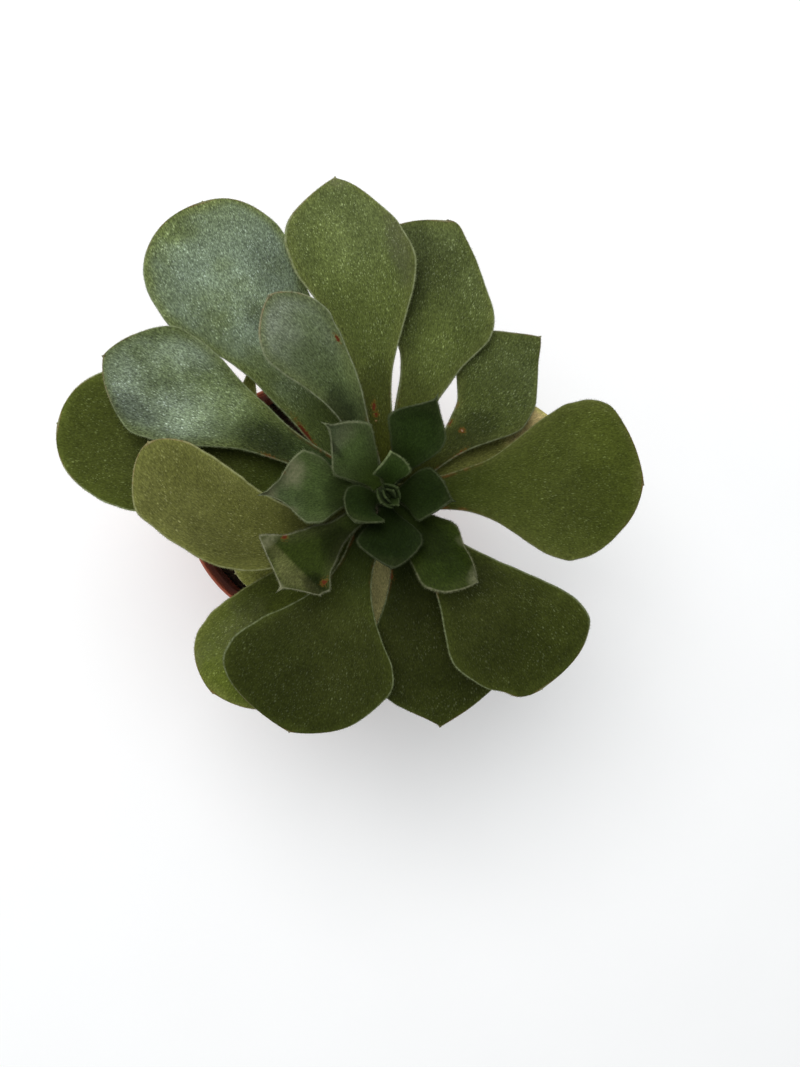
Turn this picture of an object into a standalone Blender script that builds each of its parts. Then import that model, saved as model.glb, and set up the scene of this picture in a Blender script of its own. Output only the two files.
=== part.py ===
"""Potted aeonium: a rosette of fleshy, spoon-shaped leaves on one short stem, in a plastic nursery pot.

Metres, +Z up. The origin is the middle of the pot's underside. The stem leans towards +X out of the
soil and then stands upright, so the rosette's axis is beside the pot's.
"""
import math
from dataclasses import dataclass

import bmesh
import bpy
import numpy as np
from mathutils import Vector

MM = 0.001
GAP = 0.3 * MM
MERGE = 0.02 * MM

# Pot: a common 10.5 cm nursery pot, drawn in from a rim band to a narrower foot
POT_HEIGHT = 88.0 * MM
RIM_RADIUS = 52.5 * MM
BAND_HEIGHT = 10.0 * MM
BAND_STEP = 2.0 * MM
WALL_TOP_RADIUS = RIM_RADIUS - BAND_STEP
FOOT_RADIUS = 37.0 * MM
WALL = 1.2 * MM
LIP_ROUND = 0.5 * MM
FLOOR_TOP = 3.0 * MM
FOOT_RING_WIDTH = 6.0 * MM
FOOT_RECESS = 1.4 * MM
BOSS_RADIUS = 13.0 * MM
FOOT_ROUND = 1.5 * MM
POT_STEPS = 48
HOLE_COUNT = 8
HOLE_STEPS = 16
HOLE_RADIUS = 3.0 * MM
HOLE_RING_RADIUS = 22.0 * MM

# Soil: fills the pot to well below its rim
SOIL_TOP = 70.0 * MM
SOIL_RELIEF = 0.7 * MM
SOIL_COARSE_WAVES = 200.0
SOIL_FINE_WAVES = 360.0
SOIL_FINE_SHARE = 0.6
SOIL_HOLE_DEPTH = 28.0 * MM
SOIL_STEPS = 40
SOIL_RINGS = 6

# Stem: leaves the soil on the pot's axis and leans over to the rosette's axis
ROSETTE_X = 23.0 * MM
ROSETTE_Y = 0.5 * MM
STEM_UPRIGHT_FROM = 126.0 * MM
STEM_TOP = 167.0 * MM
STEM_FOOT_RADIUS = 7.5 * MM
STEM_HEART_RADIUS = 7.0 * MM
STEM_TIP_RADIUS = 2.5 * MM
STEM_TAPER_FROM = 153.0 * MM
STEM_POINTS = 30
SCAR_SPACING = 6.0 * MM
SCAR_SWELL = 0.35 * MM

# Bud: a small core on the stem's tip that tiny leaves grow from
BUD_CORE_RADIUS = 2.4 * MM
BUD_CORE_HEIGHT = 6.0 * MM
BUD_CORE_SEGMENTS = 12
BUD_CORE_RINGS = 8
BUD_ROOT = 0.8 * MM

# Leaf sections: how many, where their points are, and how thick they are
LEAF_STATIONS = 13
BUD_STATIONS = 7
LEAF_ACROSS = (1.0, 0.55, 0.0, -0.55, -1.0)
MARGIN_THICKNESS = 0.8 * MM
FOOT_THICKNESS = 2.6 * MM
UPPER_SHARE = 0.4
FOOT_WIDTH_SHARE = 0.75
TIP_WIDTH = 1.0 * MM
CLASP_REACH = 0.95

# Shares of a leaf's length where something begins or is complete
NECK_FULL = 0.15
BLADE_STARTS = 0.06
FOOT_THINNED = 0.4
ROLL_FULL = 0.5
SKEW_STARTS = 0.45
SKEW_FULL = 0.9
END_THINS = 0.75
END_THINNING = 0.7

# Linear colours, read off the photograph
GREEN = (0.060, 0.085, 0.022)
GREY_GREEN = (0.085, 0.115, 0.065)
DARK_GREEN = (0.030, 0.045, 0.018)
OLIVE = (0.085, 0.095, 0.030)
BRICK = (0.23, 0.070, 0.042)
SOIL_BROWN = (0.020, 0.011, 0.007)
BARK = (0.11, 0.075, 0.045)
LEAF_ROUGHNESS = 0.6
PLASTIC_ROUGHNESS = 0.5
BARK_ROUGHNESS = 0.85
SOIL_DULLNESS = 0.95


@dataclass
class Leaf:
    """One leaf, in degrees and millimetres.

    azimuth and reach place its tip, seen from above, round the rosette's axis. foot and tip are the
    heights above the ground of its two ends. arch is how far the middle of the midrib stands above the
    straight line between them, and bow how far it stands to the left of it. The blade is widest at
    the share wide_at of the length, with the width there. neck is the width of the narrow part at the
    foot, and a larger waist keeps the leaf narrow further out. shoulder and point shape its end: a larger
    shoulder is squarer, and point runs from 1, a straight-sided point, to 2, a round end. cup lifts the
    margins above the midrib, and roll turns the blade's left margin up. skew moves width to the left
    towards the tip. body is the thickness of the blade's middle. A leaf on the bud starts inside its core
    and the others start on the stem.
    """
    azimuth: float
    reach: float
    foot: float
    tip: float
    width: float
    arch: float = 0.0
    bow: float = 0.0
    wide_at: float = 0.72
    shoulder: float = 2.2
    point: float = 1.5
    neck: float = 10.0
    waist: float = 1.15
    cup: float = 1.5
    roll: float = 0.0
    skew: float = 0.0
    body: float = 2.2
    on_bud: bool = False
    colour: tuple = GREEN


# The outer leaves and the under leaves, anticlockwise from +X, then the middle leaf and the heart
LEAVES = {
    "leaf_outer_01": Leaf(2.7, 95, 151.6, 166, 57.5, arch=3, bow=0.9, wide_at=0.73, shoulder=2.1,
                          point=1.5, waist=1.8, neck=12, skew=0.15),
    "leaf_outer_02": Leaf(45.3, 83.5, 146.6, 158, 37, arch=2, bow=-4, wide_at=0.71, shoulder=1.5,
                          point=1.2, waist=2.6, neck=8, skew=0.45),
    "leaf_outer_03": Leaf(76.9, 101.6, 150, 163, 48, arch=4, bow=-4, wide_at=0.71, shoulder=1.5,
                          point=2.4, waist=3, neck=11, skew=0.44),
    "leaf_outer_04": Leaf(99.4, 110.5, 155, 172, 41, arch=4, bow=-3.5, wide_at=0.75, shoulder=2.4,
                          point=1.25, waist=2.2, neck=9.6, skew=0.19),
    "leaf_outer_05": Leaf(121.7, 121.3, 148.2, 158, 52.5, arch=3, bow=5.3, wide_at=0.8, shoulder=1.75,
                          point=2.25, waist=2, neck=14, skew=0.16, colour=GREY_GREEN),
    "leaf_outer_06": Leaf(154, 107.7, 151.6, 163, 40, arch=3, bow=-1, wide_at=0.81, shoulder=1.5,
                          point=1.4, waist=1.9, neck=9.4, colour=GREY_GREEN),
    "leaf_outer_07": Leaf(167.5, 116.5, 144.8, 153, 51, arch=3, bow=-1, wide_at=0.75, shoulder=1.8,
                          point=2.1, colour=DARK_GREEN),
    "leaf_outer_08": Leaf(167.6, 83.3, 155, 166, 32.8, arch=5, bow=19.8, wide_at=0.66, shoulder=3.6,
                          point=1.65, waist=0.95, neck=11.5, roll=-12, colour=OLIVE),
    "leaf_outer_09": Leaf(230, 95.3, 145.2, 136, 42.7, arch=5, bow=0.9, wide_at=0.78, shoulder=2.2,
                          point=1.55, waist=1, skew=0.04),
    "leaf_outer_10": Leaf(248.8, 92, 151.8, 148, 60.2, arch=6, bow=0.5, wide_at=0.72, shoulder=2.2,
                          point=1.34, waist=2, neck=11.3, skew=-0.16, colour=DARK_GREEN),
    "leaf_outer_11": Leaf(285.3, 90, 148.4, 141, 54, arch=5, bow=2.8, wide_at=0.72, shoulder=1.7,
                          point=0.97, waist=1.3, neck=8.2, skew=0.2, colour=DARK_GREEN),
    "leaf_outer_12": Leaf(309.9, 92, 155, 158, 48.5, arch=4, bow=3, wide_at=0.76, shoulder=2.4, point=2.1,
                          waist=1.5, neck=12, skew=0.24, colour=DARK_GREEN),
    "leaf_under_01": Leaf(24, 73, 143.4, 148, 34, arch=2, wide_at=0.72, shoulder=1.8, point=1.2,
                          colour=OLIVE),
    "leaf_under_02": Leaf(134, 67.5, 138, 140, 9, bow=21, wide_at=0.7, neck=6, colour=OLIVE),
    "leaf_under_03": Leaf(208, 60, 141.4, 136, 30, arch=2, wide_at=0.7, shoulder=2.4, point=1.8,
                          colour=OLIVE),
    "leaf_under_04": Leaf(266, 62, 141.8, 134, 26, arch=2, wide_at=0.7, neck=8, colour=OLIVE),
    "leaf_middle": Leaf(122.7, 74.3, 158.4, 192, 26, arch=-2, bow=-4.2, wide_at=0.83, shoulder=1.7,
                        point=1.4, waist=2, neck=6.8, skew=0.15, colour=GREY_GREEN),
    "leaf_heart_01": Leaf(353.8, 22, 162.5, 181, 19, arch=-1, bow=1.3, wide_at=0.55, shoulder=1.2,
                          point=1, waist=0.8, neck=6, colour=DARK_GREEN),
    "leaf_heart_02": Leaf(66, 36.5, 159.5, 187, 21.2, arch=-2, bow=-0.7, wide_at=0.66, shoulder=1.5,
                          point=0.85, waist=1.25, neck=5.8, skew=0.3, colour=DARK_GREEN),
    "leaf_heart_03": Leaf(136, 33.3, 162, 187, 20.2, arch=-2, bow=-1.3, wide_at=0.6, shoulder=1.2,
                          point=0.85, waist=0.8, neck=6.5, skew=-0.34, colour=GREY_GREEN),
    "leaf_heart_04": Leaf(181, 44.2, 160.5, 184, 25.5, arch=-1, bow=-1.4, wide_at=0.63, shoulder=1.2,
                          point=0.85, neck=6, skew=-0.27, colour=GREY_GREEN),
    "leaf_heart_05": Leaf(220.7, 50.5, 158.2, 176, 27.8, arch=0, bow=-1.1, wide_at=0.82, shoulder=1.1,
                          point=0.85, waist=2.1, neck=7, skew=-0.2, colour=OLIVE),
    "leaf_heart_06": Leaf(270.5, 24.8, 162.5, 180, 22.6, arch=-1, bow=0.7, wide_at=0.6, shoulder=1.8,
                          point=1.2, waist=0.8, neck=7, skew=-0.18, colour=DARK_GREEN),
    "leaf_heart_07": Leaf(315.7, 43, 159, 177, 21.8, arch=0, bow=-0.5, wide_at=0.6, shoulder=1.8,
                          point=1.35, waist=0.8, neck=8, skew=-0.4, colour=DARK_GREEN),
    "leaf_heart_08": Leaf(90.5, 14.3, 164.8, 181, 13, arch=-1, bow=-0.9, wide_at=0.55, shoulder=1.25,
                          point=1.4, waist=1.5, neck=4.5, skew=0.1, colour=DARK_GREEN),
    "leaf_heart_09": Leaf(218, 15, 165, 178, 16, arch=-1, bow=-2, wide_at=0.55, shoulder=3, point=1.9,
                          waist=0.8, neck=6, skew=0.3, colour=DARK_GREEN),
}

# The tiny leaves of the bud, from the lowest up
BUD_LEAVES = (
    Leaf(290, 4.8, 170.0, 178.0, 5.6, wide_at=0.6, shoulder=1.6, point=1.2, neck=3, cup=1.2, body=1.3,
         on_bud=True),
    Leaf(150, 3.6, 170.6, 178.0, 4.6, wide_at=0.6, shoulder=1.6, point=1.2, neck=3, cup=1.2, body=1.3,
         on_bud=True),
    Leaf(35, 4.2, 171.0, 178.5, 4.6, wide_at=0.6, shoulder=1.6, point=1.2, neck=3, cup=1.2, body=1.3,
         on_bud=True),
    Leaf(230, 2.0, 171.4, 179.0, 3.2, wide_at=0.6, shoulder=1.6, point=1.2, neck=2, cup=1, body=1.2,
         on_bud=True),
    Leaf(80, 1.6, 171.6, 179.0, 3.0, wide_at=0.6, shoulder=1.6, point=1.2, neck=2, cup=1, body=1.2,
         on_bud=True),
)


def stem_radius(height):
    """The stem's radius at a height: a slow taper, then a quick one through the heart."""
    if height < STEM_TAPER_FROM:
        share = max(0.0, (height - SOIL_TOP) / (STEM_TAPER_FROM - SOIL_TOP))
        return STEM_FOOT_RADIUS + (STEM_HEART_RADIUS - STEM_FOOT_RADIUS) * share
    share = min(1.0, (height - STEM_TAPER_FROM) / (STEM_TOP - STEM_TAPER_FROM))
    return STEM_HEART_RADIUS + (STEM_TIP_RADIUS - STEM_HEART_RADIUS) * share


def ease(share):
    """A smooth step from 0 to 1."""
    share = min(1.0, max(0.0, share))
    return share * share * (3.0 - 2.0 * share)


def stem_centre(height):
    """The stem's middle at a height: on the pot's axis in the soil, on the rosette's above."""
    lean = ease((height - SOIL_TOP) / (STEM_UPRIGHT_FROM - SOIL_TOP))
    return Vector((ROSETTE_X * lean, ROSETTE_Y * lean, height))


def leaf_half_width(leaf, share):
    """Half of the blade's width at a share of its length, in metres."""
    if share <= leaf.wide_at:
        spread = ease((share - BLADE_STARTS) / (leaf.wide_at - BLADE_STARTS)) ** leaf.waist
        neck = leaf.neck * (FOOT_WIDTH_SHARE + (1.0 - FOOT_WIDTH_SHARE) * ease(share / NECK_FULL))
        return 0.5 * MM * (neck + (leaf.width - neck) * spread)
    beyond = (share - leaf.wide_at) / (1.0 - leaf.wide_at)
    outline = max(0.0, 1.0 - beyond ** leaf.shoulder) ** (1.0 / leaf.point)
    return max(0.5 * TIP_WIDTH, 0.5 * MM * leaf.width * outline)


def leaf_directions(azimuth):
    """The level directions outwards and to the left at an azimuth in degrees."""
    turn = math.radians(azimuth)
    return Vector((math.cos(turn), math.sin(turn), 0.0)), Vector((-math.sin(turn), math.cos(turn), 0.0))


def foot_azimuth(leaf):
    """Where a leaf's foot meets the stem: a bowed leaf starts out towards its bow."""
    return leaf.azimuth + math.degrees(math.atan(4.0 * leaf.bow / leaf.reach))


def leaf_midrib(leaf, share):
    """The midrib's point and its direction at a share of its length: a curve through three points."""
    out, left = leaf_directions(leaf.azimuth)
    foot_height = leaf.foot * MM
    foot_out, _ = leaf_directions(foot_azimuth(leaf))
    foot_reach = BUD_ROOT if leaf.on_bud else stem_radius(foot_height) + GAP
    start = stem_centre(foot_height) + foot_out * foot_reach
    end = Vector((ROSETTE_X, ROSETTE_Y, leaf.tip * MM)) + out * leaf.reach * MM
    middle = (start + end) * 0.5 + (left * leaf.bow + Vector((0, 0, leaf.arch))) * (2.0 * MM)
    point = start * (1 - share) ** 2 + middle * (2 * share * (1 - share)) + end * share ** 2
    along = (middle - start) * (2 * (1 - share)) + (end - middle) * (2 * share)
    return point, along.normalized()


def leaf_thickness(leaf, share, across):
    """The leaf's thickness: a stout foot, a thinner blade, and thinnest at the margins."""
    middle = FOOT_THICKNESS + (leaf.body * MM - FOOT_THICKNESS) * ease(share / FOOT_THINNED)
    thinning = END_THINNING * ease((share - END_THINS) / (1.0 - END_THINS))
    middle = middle + (MARGIN_THICKNESS - middle) * thinning
    return MARGIN_THICKNESS + (middle - MARGIN_THICKNESS) * (1.0 - across * across)


def leaf_section(leaf, share):
    """One closed section across the leaf, the upper face from left to right and the lower back."""
    point, along = leaf_midrib(leaf, share)
    left = Vector((0, 0, 1)).cross(along).normalized()
    up = along.cross(left).normalized()
    turn = math.radians(leaf.roll) * ease(share / ROLL_FULL)
    left, up = left * math.cos(turn) + up * math.sin(turn), up * math.cos(turn) - left * math.sin(turn)
    half = leaf_half_width(leaf, share)
    lift = leaf.cup * MM * (half / (0.5 * MM * leaf.width)) ** 2
    skew = leaf.skew * ease((share - SKEW_STARTS) / (SKEW_FULL - SKEW_STARTS))
    upper = []
    lower = []
    for across in LEAF_ACROSS:
        side = half * across * (1.0 + math.copysign(1.0, across) * skew)
        seat = point + left * side + up * (lift * across * across)
        thickness = leaf_thickness(leaf, share, across)
        upper.append(seat + up * (UPPER_SHARE * thickness))
        lower.append(seat - up * ((1.0 - UPPER_SHARE) * thickness))
    return upper + lower[::-1]


def clasp_stem(leaf, section):
    """Moves a leaf's first section on to the stem, so that its foot fits round it."""
    out, left = leaf_directions(foot_azimuth(leaf))
    fitted = []
    for point in section:
        centre = stem_centre(point.z)
        reach = stem_radius(point.z) + GAP
        side = (point - centre).dot(left)
        side = max(-CLASP_REACH * reach, min(CLASP_REACH * reach, side))
        fitted.append(centre + left * side + out * math.sqrt(reach * reach - side * side))
    return fitted


def loft(name, sections):
    """A closed body through flat sections of the same number of points. Strips from each section's upper
    to its lower side close both ends."""
    mesh = bmesh.new()
    rings = [[mesh.verts.new(point) for point in section] for section in sections]
    count = len(rings[0])
    for ring, following in zip(rings, rings[1:]):
        for index in range(count):
            after = (index + 1) % count
            mesh.faces.new((ring[index], following[index], following[after], ring[after]))
    for ring in (rings[0], rings[-1]):
        for index in range(count // 2 - 1):
            mesh.faces.new((ring[index], ring[index + 1], ring[-2 - index], ring[-1 - index]))
    bmesh.ops.recalc_face_normals(mesh, faces=mesh.faces)
    return finish_mesh(name, mesh)


def finish_mesh(name, mesh):
    """Turns a bmesh into a smooth-shaded object in the plant's collection."""
    data = bpy.data.meshes.new(name)
    mesh.to_mesh(data)
    mesh.free()
    data.shade_smooth()
    piece = bpy.data.objects.new(name, data)
    parts.objects.link(piece)
    return piece


def paint(piece, colour, roughness):
    """Gives a piece its own material."""
    material = bpy.data.materials.new(piece.name)
    material.use_nodes = True
    shader = material.node_tree.nodes["Principled BSDF"]
    shader.inputs["Base Color"].default_value = (*colour, 1.0)
    shader.inputs["Roughness"].default_value = roughness
    shader.inputs["Metallic"].default_value = 0.0
    piece.data.materials.clear()
    piece.data.materials.append(material)


def evaluated_mesh(piece):
    """A new mesh of a piece with its modifiers applied."""
    return bpy.data.meshes.new_from_object(piece.evaluated_get(bpy.context.evaluated_depsgraph_get()))


def new_collection(name):
    """A collection in the scene."""
    collection = bpy.data.collections.new(name)
    bpy.context.scene.collection.children.link(collection)
    return collection


def turned(name, profile, steps):
    """A turned body: a profile of (radius, height) points swept round +Z by a Screw modifier."""
    data = bpy.data.meshes.new(name)
    edges = [(index, index + 1) for index in range(len(profile) - 1)]
    data.from_pydata([(radius, 0.0, height) for radius, height in profile], edges, [])
    piece = bpy.data.objects.new(name, data)
    parts.objects.link(piece)
    screw = piece.modifiers.new("Turn", "SCREW")
    screw.steps = steps
    screw.render_steps = steps
    screw.use_merge_vertices = True
    screw.merge_threshold = MERGE
    return piece


def quarter_round(centre_radius, centre_height, radius, start, stop, count=3):
    """Points on an arc between two angles in degrees, for a profile's rounded corner."""
    angles = np.radians(np.linspace(start, stop, count))
    return [(centre_radius + radius * math.cos(angle), centre_height + radius * math.sin(angle))
            for angle in angles]


def pot_inner_radius(height):
    """The radius of the pot's inner wall at a height below the rim band."""
    slope = (WALL_TOP_RADIUS - FOOT_RADIUS) / (POT_HEIGHT - BAND_HEIGHT)
    return FOOT_RADIUS + slope * height - WALL


def pot_profile():
    """From the axis over the floor, up the inside, over the rim, down the outside and back."""
    band_bottom = POT_HEIGHT - BAND_HEIGHT
    recess_outer = FOOT_RADIUS - FOOT_RING_WIDTH
    lip_height = POT_HEIGHT - LIP_ROUND
    inside = [(0.0, FLOOR_TOP), (pot_inner_radius(FLOOR_TOP) - FOOT_ROUND, FLOOR_TOP),
              (pot_inner_radius(FLOOR_TOP + FOOT_ROUND), FLOOR_TOP + FOOT_ROUND),
              (pot_inner_radius(band_bottom), band_bottom), (RIM_RADIUS - WALL, band_bottom + BAND_STEP)]
    rim = quarter_round(RIM_RADIUS - WALL + LIP_ROUND, lip_height, LIP_ROUND, 180, 90)
    rim += quarter_round(RIM_RADIUS - LIP_ROUND, lip_height, LIP_ROUND, 90, 0)
    outside = [(RIM_RADIUS, band_bottom), (WALL_TOP_RADIUS, band_bottom)]
    outside += quarter_round(FOOT_RADIUS - FOOT_ROUND, FOOT_ROUND, FOOT_ROUND, 0, -90)
    under = [(recess_outer, 0.0), (recess_outer, FOOT_RECESS), (BOSS_RADIUS, FOOT_RECESS),
             (BOSS_RADIUS, 0.0), (0.0, 0.0)]
    return inside + rim + outside + under


def make_pot():
    """The pot, with drainage holes cut through its floor."""
    pot = turned("pot", pot_profile(), POT_STEPS)
    for index in range(HOLE_COUNT):
        turn = math.tau * index / HOLE_COUNT
        place = (HOLE_RING_RADIUS * math.cos(turn), HOLE_RING_RADIUS * math.sin(turn), FLOOR_TOP / 2)
        bpy.ops.mesh.primitive_cylinder_add(vertices=HOLE_STEPS, radius=HOLE_RADIUS, depth=3 * FLOOR_TOP,
                                            location=place)
        cutter = bpy.context.object
        cutter.name = f"cutter_drain_{index + 1}"
        cutter.display_type = "WIRE"
        cutter.hide_render = True
        for holder in list(cutter.users_collection):
            holder.objects.unlink(cutter)
        cutters.objects.link(cutter)
    drain = pot.modifiers.new("Drainage holes", "BOOLEAN")
    drain.operand_type = "COLLECTION"
    drain.collection = cutters
    drain.solver = "EXACT"
    paint(pot, BRICK, PLASTIC_ROUGHNESS)
    return pot


def soil_profile():
    """From the axis up the stem's hole, out over the surface, and down the pot's wall."""
    hole_radius = STEM_FOOT_RADIUS + GAP
    hole_bottom = SOIL_TOP - SOIL_HOLE_DEPTH
    bottom = FLOOR_TOP + GAP
    outer_top = pot_inner_radius(SOIL_TOP) - GAP
    outer_bottom = pot_inner_radius(bottom + FOOT_ROUND) - FOOT_ROUND - GAP
    surface = [(radius, SOIL_TOP) for radius in np.linspace(hole_radius, outer_top, SOIL_RINGS)]
    foot = [(pot_inner_radius(bottom + FOOT_ROUND) - GAP, bottom + FOOT_ROUND), (outer_bottom, bottom),
            (0.0, bottom)]
    return [(0.0, hole_bottom), (hole_radius, hole_bottom)] + surface + foot


def soil_relief(x, y):
    """The height of the soil's uneven surface above its mean level."""
    coarse = math.sin(SOIL_COARSE_WAVES * x + 1.0) * math.cos(SOIL_COARSE_WAVES * y)
    fine = math.sin(SOIL_FINE_WAVES * (x - y))
    return SOIL_RELIEF * (coarse + SOIL_FINE_SHARE * fine)


def make_soil():
    """The soil: a turned plug whose surface is shaped by a formula."""
    turned_soil = turned("soil_turned", soil_profile(), SOIL_STEPS)
    shaped = evaluated_mesh(turned_soil)
    bpy.data.objects.remove(turned_soil)
    rim_radius = pot_inner_radius(SOIL_TOP) - 2 * GAP
    for vertex in shaped.vertices:
        radius = math.hypot(vertex.co.x, vertex.co.y)
        on_top = vertex.co.z > SOIL_TOP - GAP
        if on_top and STEM_FOOT_RADIUS + 2 * GAP < radius < rim_radius:
            vertex.co.z += soil_relief(vertex.co.x, vertex.co.y)
    soil = bpy.data.objects.new("soil", shaped)
    parts.objects.link(soil)
    paint(soil, SOIL_BROWN, SOIL_DULLNESS)
    return soil


def make_stem():
    """The stem: a curve whose radius swells a little at each old leaf scar."""
    curve = bpy.data.curves.new("stem_path", "CURVE")
    curve.dimensions = "3D"
    curve.bevel_depth = 1.0
    curve.bevel_resolution = 3
    curve.use_fill_caps = True
    spline = curve.splines.new("POLY")
    spline.points.add(STEM_POINTS - 1)
    bottom = SOIL_TOP - SOIL_HOLE_DEPTH + GAP
    for index, height in enumerate(np.linspace(bottom, STEM_TOP, STEM_POINTS)):
        point = spline.points[index]
        point.co = (*stem_centre(height), 1.0)
        swell = max(0.0, math.sin(math.tau * height / SCAR_SPACING)) * SCAR_SWELL
        in_the_open = SOIL_TOP + 2 * MM < height < STEM_UPRIGHT_FROM
        point.radius = stem_radius(height) + (swell if in_the_open else 0.0)
    path = bpy.data.objects.new("stem_path", curve)
    parts.objects.link(path)
    data = evaluated_mesh(path)
    bpy.data.objects.remove(path)
    mesh = bmesh.new()
    mesh.from_mesh(data)
    bmesh.ops.remove_doubles(mesh, verts=mesh.verts, dist=MERGE)
    bmesh.ops.recalc_face_normals(mesh, faces=mesh.faces)
    stem = finish_mesh("stem", mesh)
    paint(stem, BARK, BARK_ROUGHNESS)
    return stem


def make_leaf(name, leaf, stations=LEAF_STATIONS):
    """One leaf, lofted through sections that crowd together towards its tip."""
    shares = [math.sin(0.5 * math.pi * index / stations) for index in range(stations + 1)]
    sections = [leaf_section(leaf, share) for share in shares]
    if not leaf.on_bud:
        sections[0] = clasp_stem(leaf, sections[0])
    piece = loft(name, sections)
    paint(piece, leaf.colour, LEAF_ROUGHNESS)
    return piece


def make_bud():
    """The bud: tiny leaves joined with the core that they grow from."""
    joined = new_collection("bud_leaves")
    for index, leaf in enumerate(BUD_LEAVES):
        tiny = make_leaf(f"bud_leaf_{index + 1}", leaf, BUD_STATIONS)
        parts.objects.unlink(tiny)
        joined.objects.link(tiny)
    core = bmesh.new()
    bmesh.ops.create_uvsphere(core, u_segments=BUD_CORE_SEGMENTS, v_segments=BUD_CORE_RINGS,
                              radius=BUD_CORE_RADIUS)
    stretch = 0.5 * BUD_CORE_HEIGHT / BUD_CORE_RADIUS
    centre = stem_centre(STEM_TOP + GAP + 0.5 * BUD_CORE_HEIGHT)
    for vertex in core.verts:
        vertex.co = centre + Vector((vertex.co.x, vertex.co.y, vertex.co.z * stretch))
    bud = finish_mesh("bud", core)
    union = bud.modifiers.new("Tiny leaves", "BOOLEAN")
    union.operation = "UNION"
    union.operand_type = "COLLECTION"
    union.collection = joined
    union.solver = "EXACT"
    data = evaluated_mesh(bud)
    bud.modifiers.clear()
    bud.data = data
    for tiny in list(joined.objects):
        bpy.data.objects.remove(tiny)
    bpy.data.collections.remove(joined)
    paint(bud, DARK_GREEN, LEAF_ROUGHNESS)
    return bud


for old in list(bpy.data.objects):
    bpy.data.objects.remove(old)
parts = new_collection("potted_aeonium")
cutters = new_collection("cutters")
make_pot()
make_soil()
make_stem()
for leaf_name, leaf_shape in LEAVES.items():
    make_leaf(leaf_name, leaf_shape)
make_bud()
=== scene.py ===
# %% [markdown]
# A potted aeonium, dressed for its picture.
#
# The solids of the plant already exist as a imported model: a pot, a plug of soil, a stem, a bud and
# twenty-six leaves. They give the sizes and places. This lesson puts a finer surface over each of them,
# with rounded leaf margins, fine hairs, leaf scars, loose soil and moulded plastic, and never moves them.

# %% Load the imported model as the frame
import math
from dataclasses import dataclass

import bmesh
import bpy
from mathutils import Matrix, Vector, noise


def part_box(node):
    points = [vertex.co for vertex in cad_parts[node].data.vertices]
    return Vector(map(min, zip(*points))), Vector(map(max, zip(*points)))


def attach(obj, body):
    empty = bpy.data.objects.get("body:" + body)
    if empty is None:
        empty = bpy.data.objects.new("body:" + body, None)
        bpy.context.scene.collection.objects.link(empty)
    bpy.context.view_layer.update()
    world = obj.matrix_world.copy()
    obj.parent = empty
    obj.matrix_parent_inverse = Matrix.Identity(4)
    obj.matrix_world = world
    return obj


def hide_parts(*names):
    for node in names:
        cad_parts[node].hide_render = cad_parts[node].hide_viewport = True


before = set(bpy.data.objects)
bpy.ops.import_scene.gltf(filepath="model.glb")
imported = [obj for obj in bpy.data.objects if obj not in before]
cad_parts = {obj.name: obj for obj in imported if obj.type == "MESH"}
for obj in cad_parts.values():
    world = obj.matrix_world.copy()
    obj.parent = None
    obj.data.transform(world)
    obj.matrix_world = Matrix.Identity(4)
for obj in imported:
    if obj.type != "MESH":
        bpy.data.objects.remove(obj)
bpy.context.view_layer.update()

scene = bpy.context.scene
MM = 0.001
print("nodes in the frame:", len(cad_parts))

# %% [markdown]
# The plant grows by a few simple rules, and the fine surfaces have to follow the same ones.
#
# The stem leaves the soil on the pot's axis and leans over to the rosette's axis. Each leaf starts on the
# stem, and its midrib is a curve through three points. The sizes below are the real ones, in metres. The
# pot's height and rim and the stem's two ends are read from the frame, so they can't drift apart.

# %% Sizes of the pot, the soil and the stem
POT_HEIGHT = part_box("pot")[1].z
RIM_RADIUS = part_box("pot")[1].x
BAND_HEIGHT = 10.0 * MM
BAND_BOTTOM = POT_HEIGHT - BAND_HEIGHT
BAND_STEP = 2.0 * MM
WALL_TOP_RADIUS = RIM_RADIUS - BAND_STEP
FOOT_RADIUS = 37.0 * MM
WALL = 1.2 * MM
FLOOR_TOP = 3.0 * MM
FOOT_RING_WIDTH = 6.0 * MM
FOOT_RECESS = 1.4 * MM
BOSS_RADIUS = 13.0 * MM
FOOT_ROUND = 1.5 * MM
HOLE_COUNT = 8
HOLE_RADIUS = 3.0 * MM
HOLE_RING_RADIUS = 22.0 * MM

SOIL_TOP = 70.0 * MM
SOIL_RELIEF = 0.7 * MM
SOIL_COARSE_WAVES = 200.0
SOIL_FINE_WAVES = 360.0
SOIL_FINE_SHARE = 0.6

ROSETTE_X = 23.0 * MM
ROSETTE_Y = 0.5 * MM
STEM_UPRIGHT_FROM = 126.0 * MM
STEM_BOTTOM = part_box("stem")[0].z
STEM_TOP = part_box("stem")[1].z
STEM_FOOT_RADIUS = 7.5 * MM
STEM_HEART_RADIUS = 7.0 * MM
STEM_TIP_RADIUS = 2.5 * MM
STEM_TAPER_FROM = 153.0 * MM
print("pot", round(2 * RIM_RADIUS / MM, 1), "mm across and", round(POT_HEIGHT / MM, 1), "mm high")


# %% Rules for the stem
def ease(share):
    """A smooth step from 0 to 1."""
    share = min(1.0, max(0.0, share))
    return share * share * (3.0 - 2.0 * share)


def stem_radius(height):
    """The stem's radius at a height: a slow taper, then a quick one through the heart."""
    if height < STEM_TAPER_FROM:
        share = max(0.0, (height - SOIL_TOP) / (STEM_TAPER_FROM - SOIL_TOP))
        return STEM_FOOT_RADIUS + (STEM_HEART_RADIUS - STEM_FOOT_RADIUS) * share
    share = min(1.0, (height - STEM_TAPER_FROM) / (STEM_TOP - STEM_TAPER_FROM))
    return STEM_HEART_RADIUS + (STEM_TIP_RADIUS - STEM_HEART_RADIUS) * share


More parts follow.
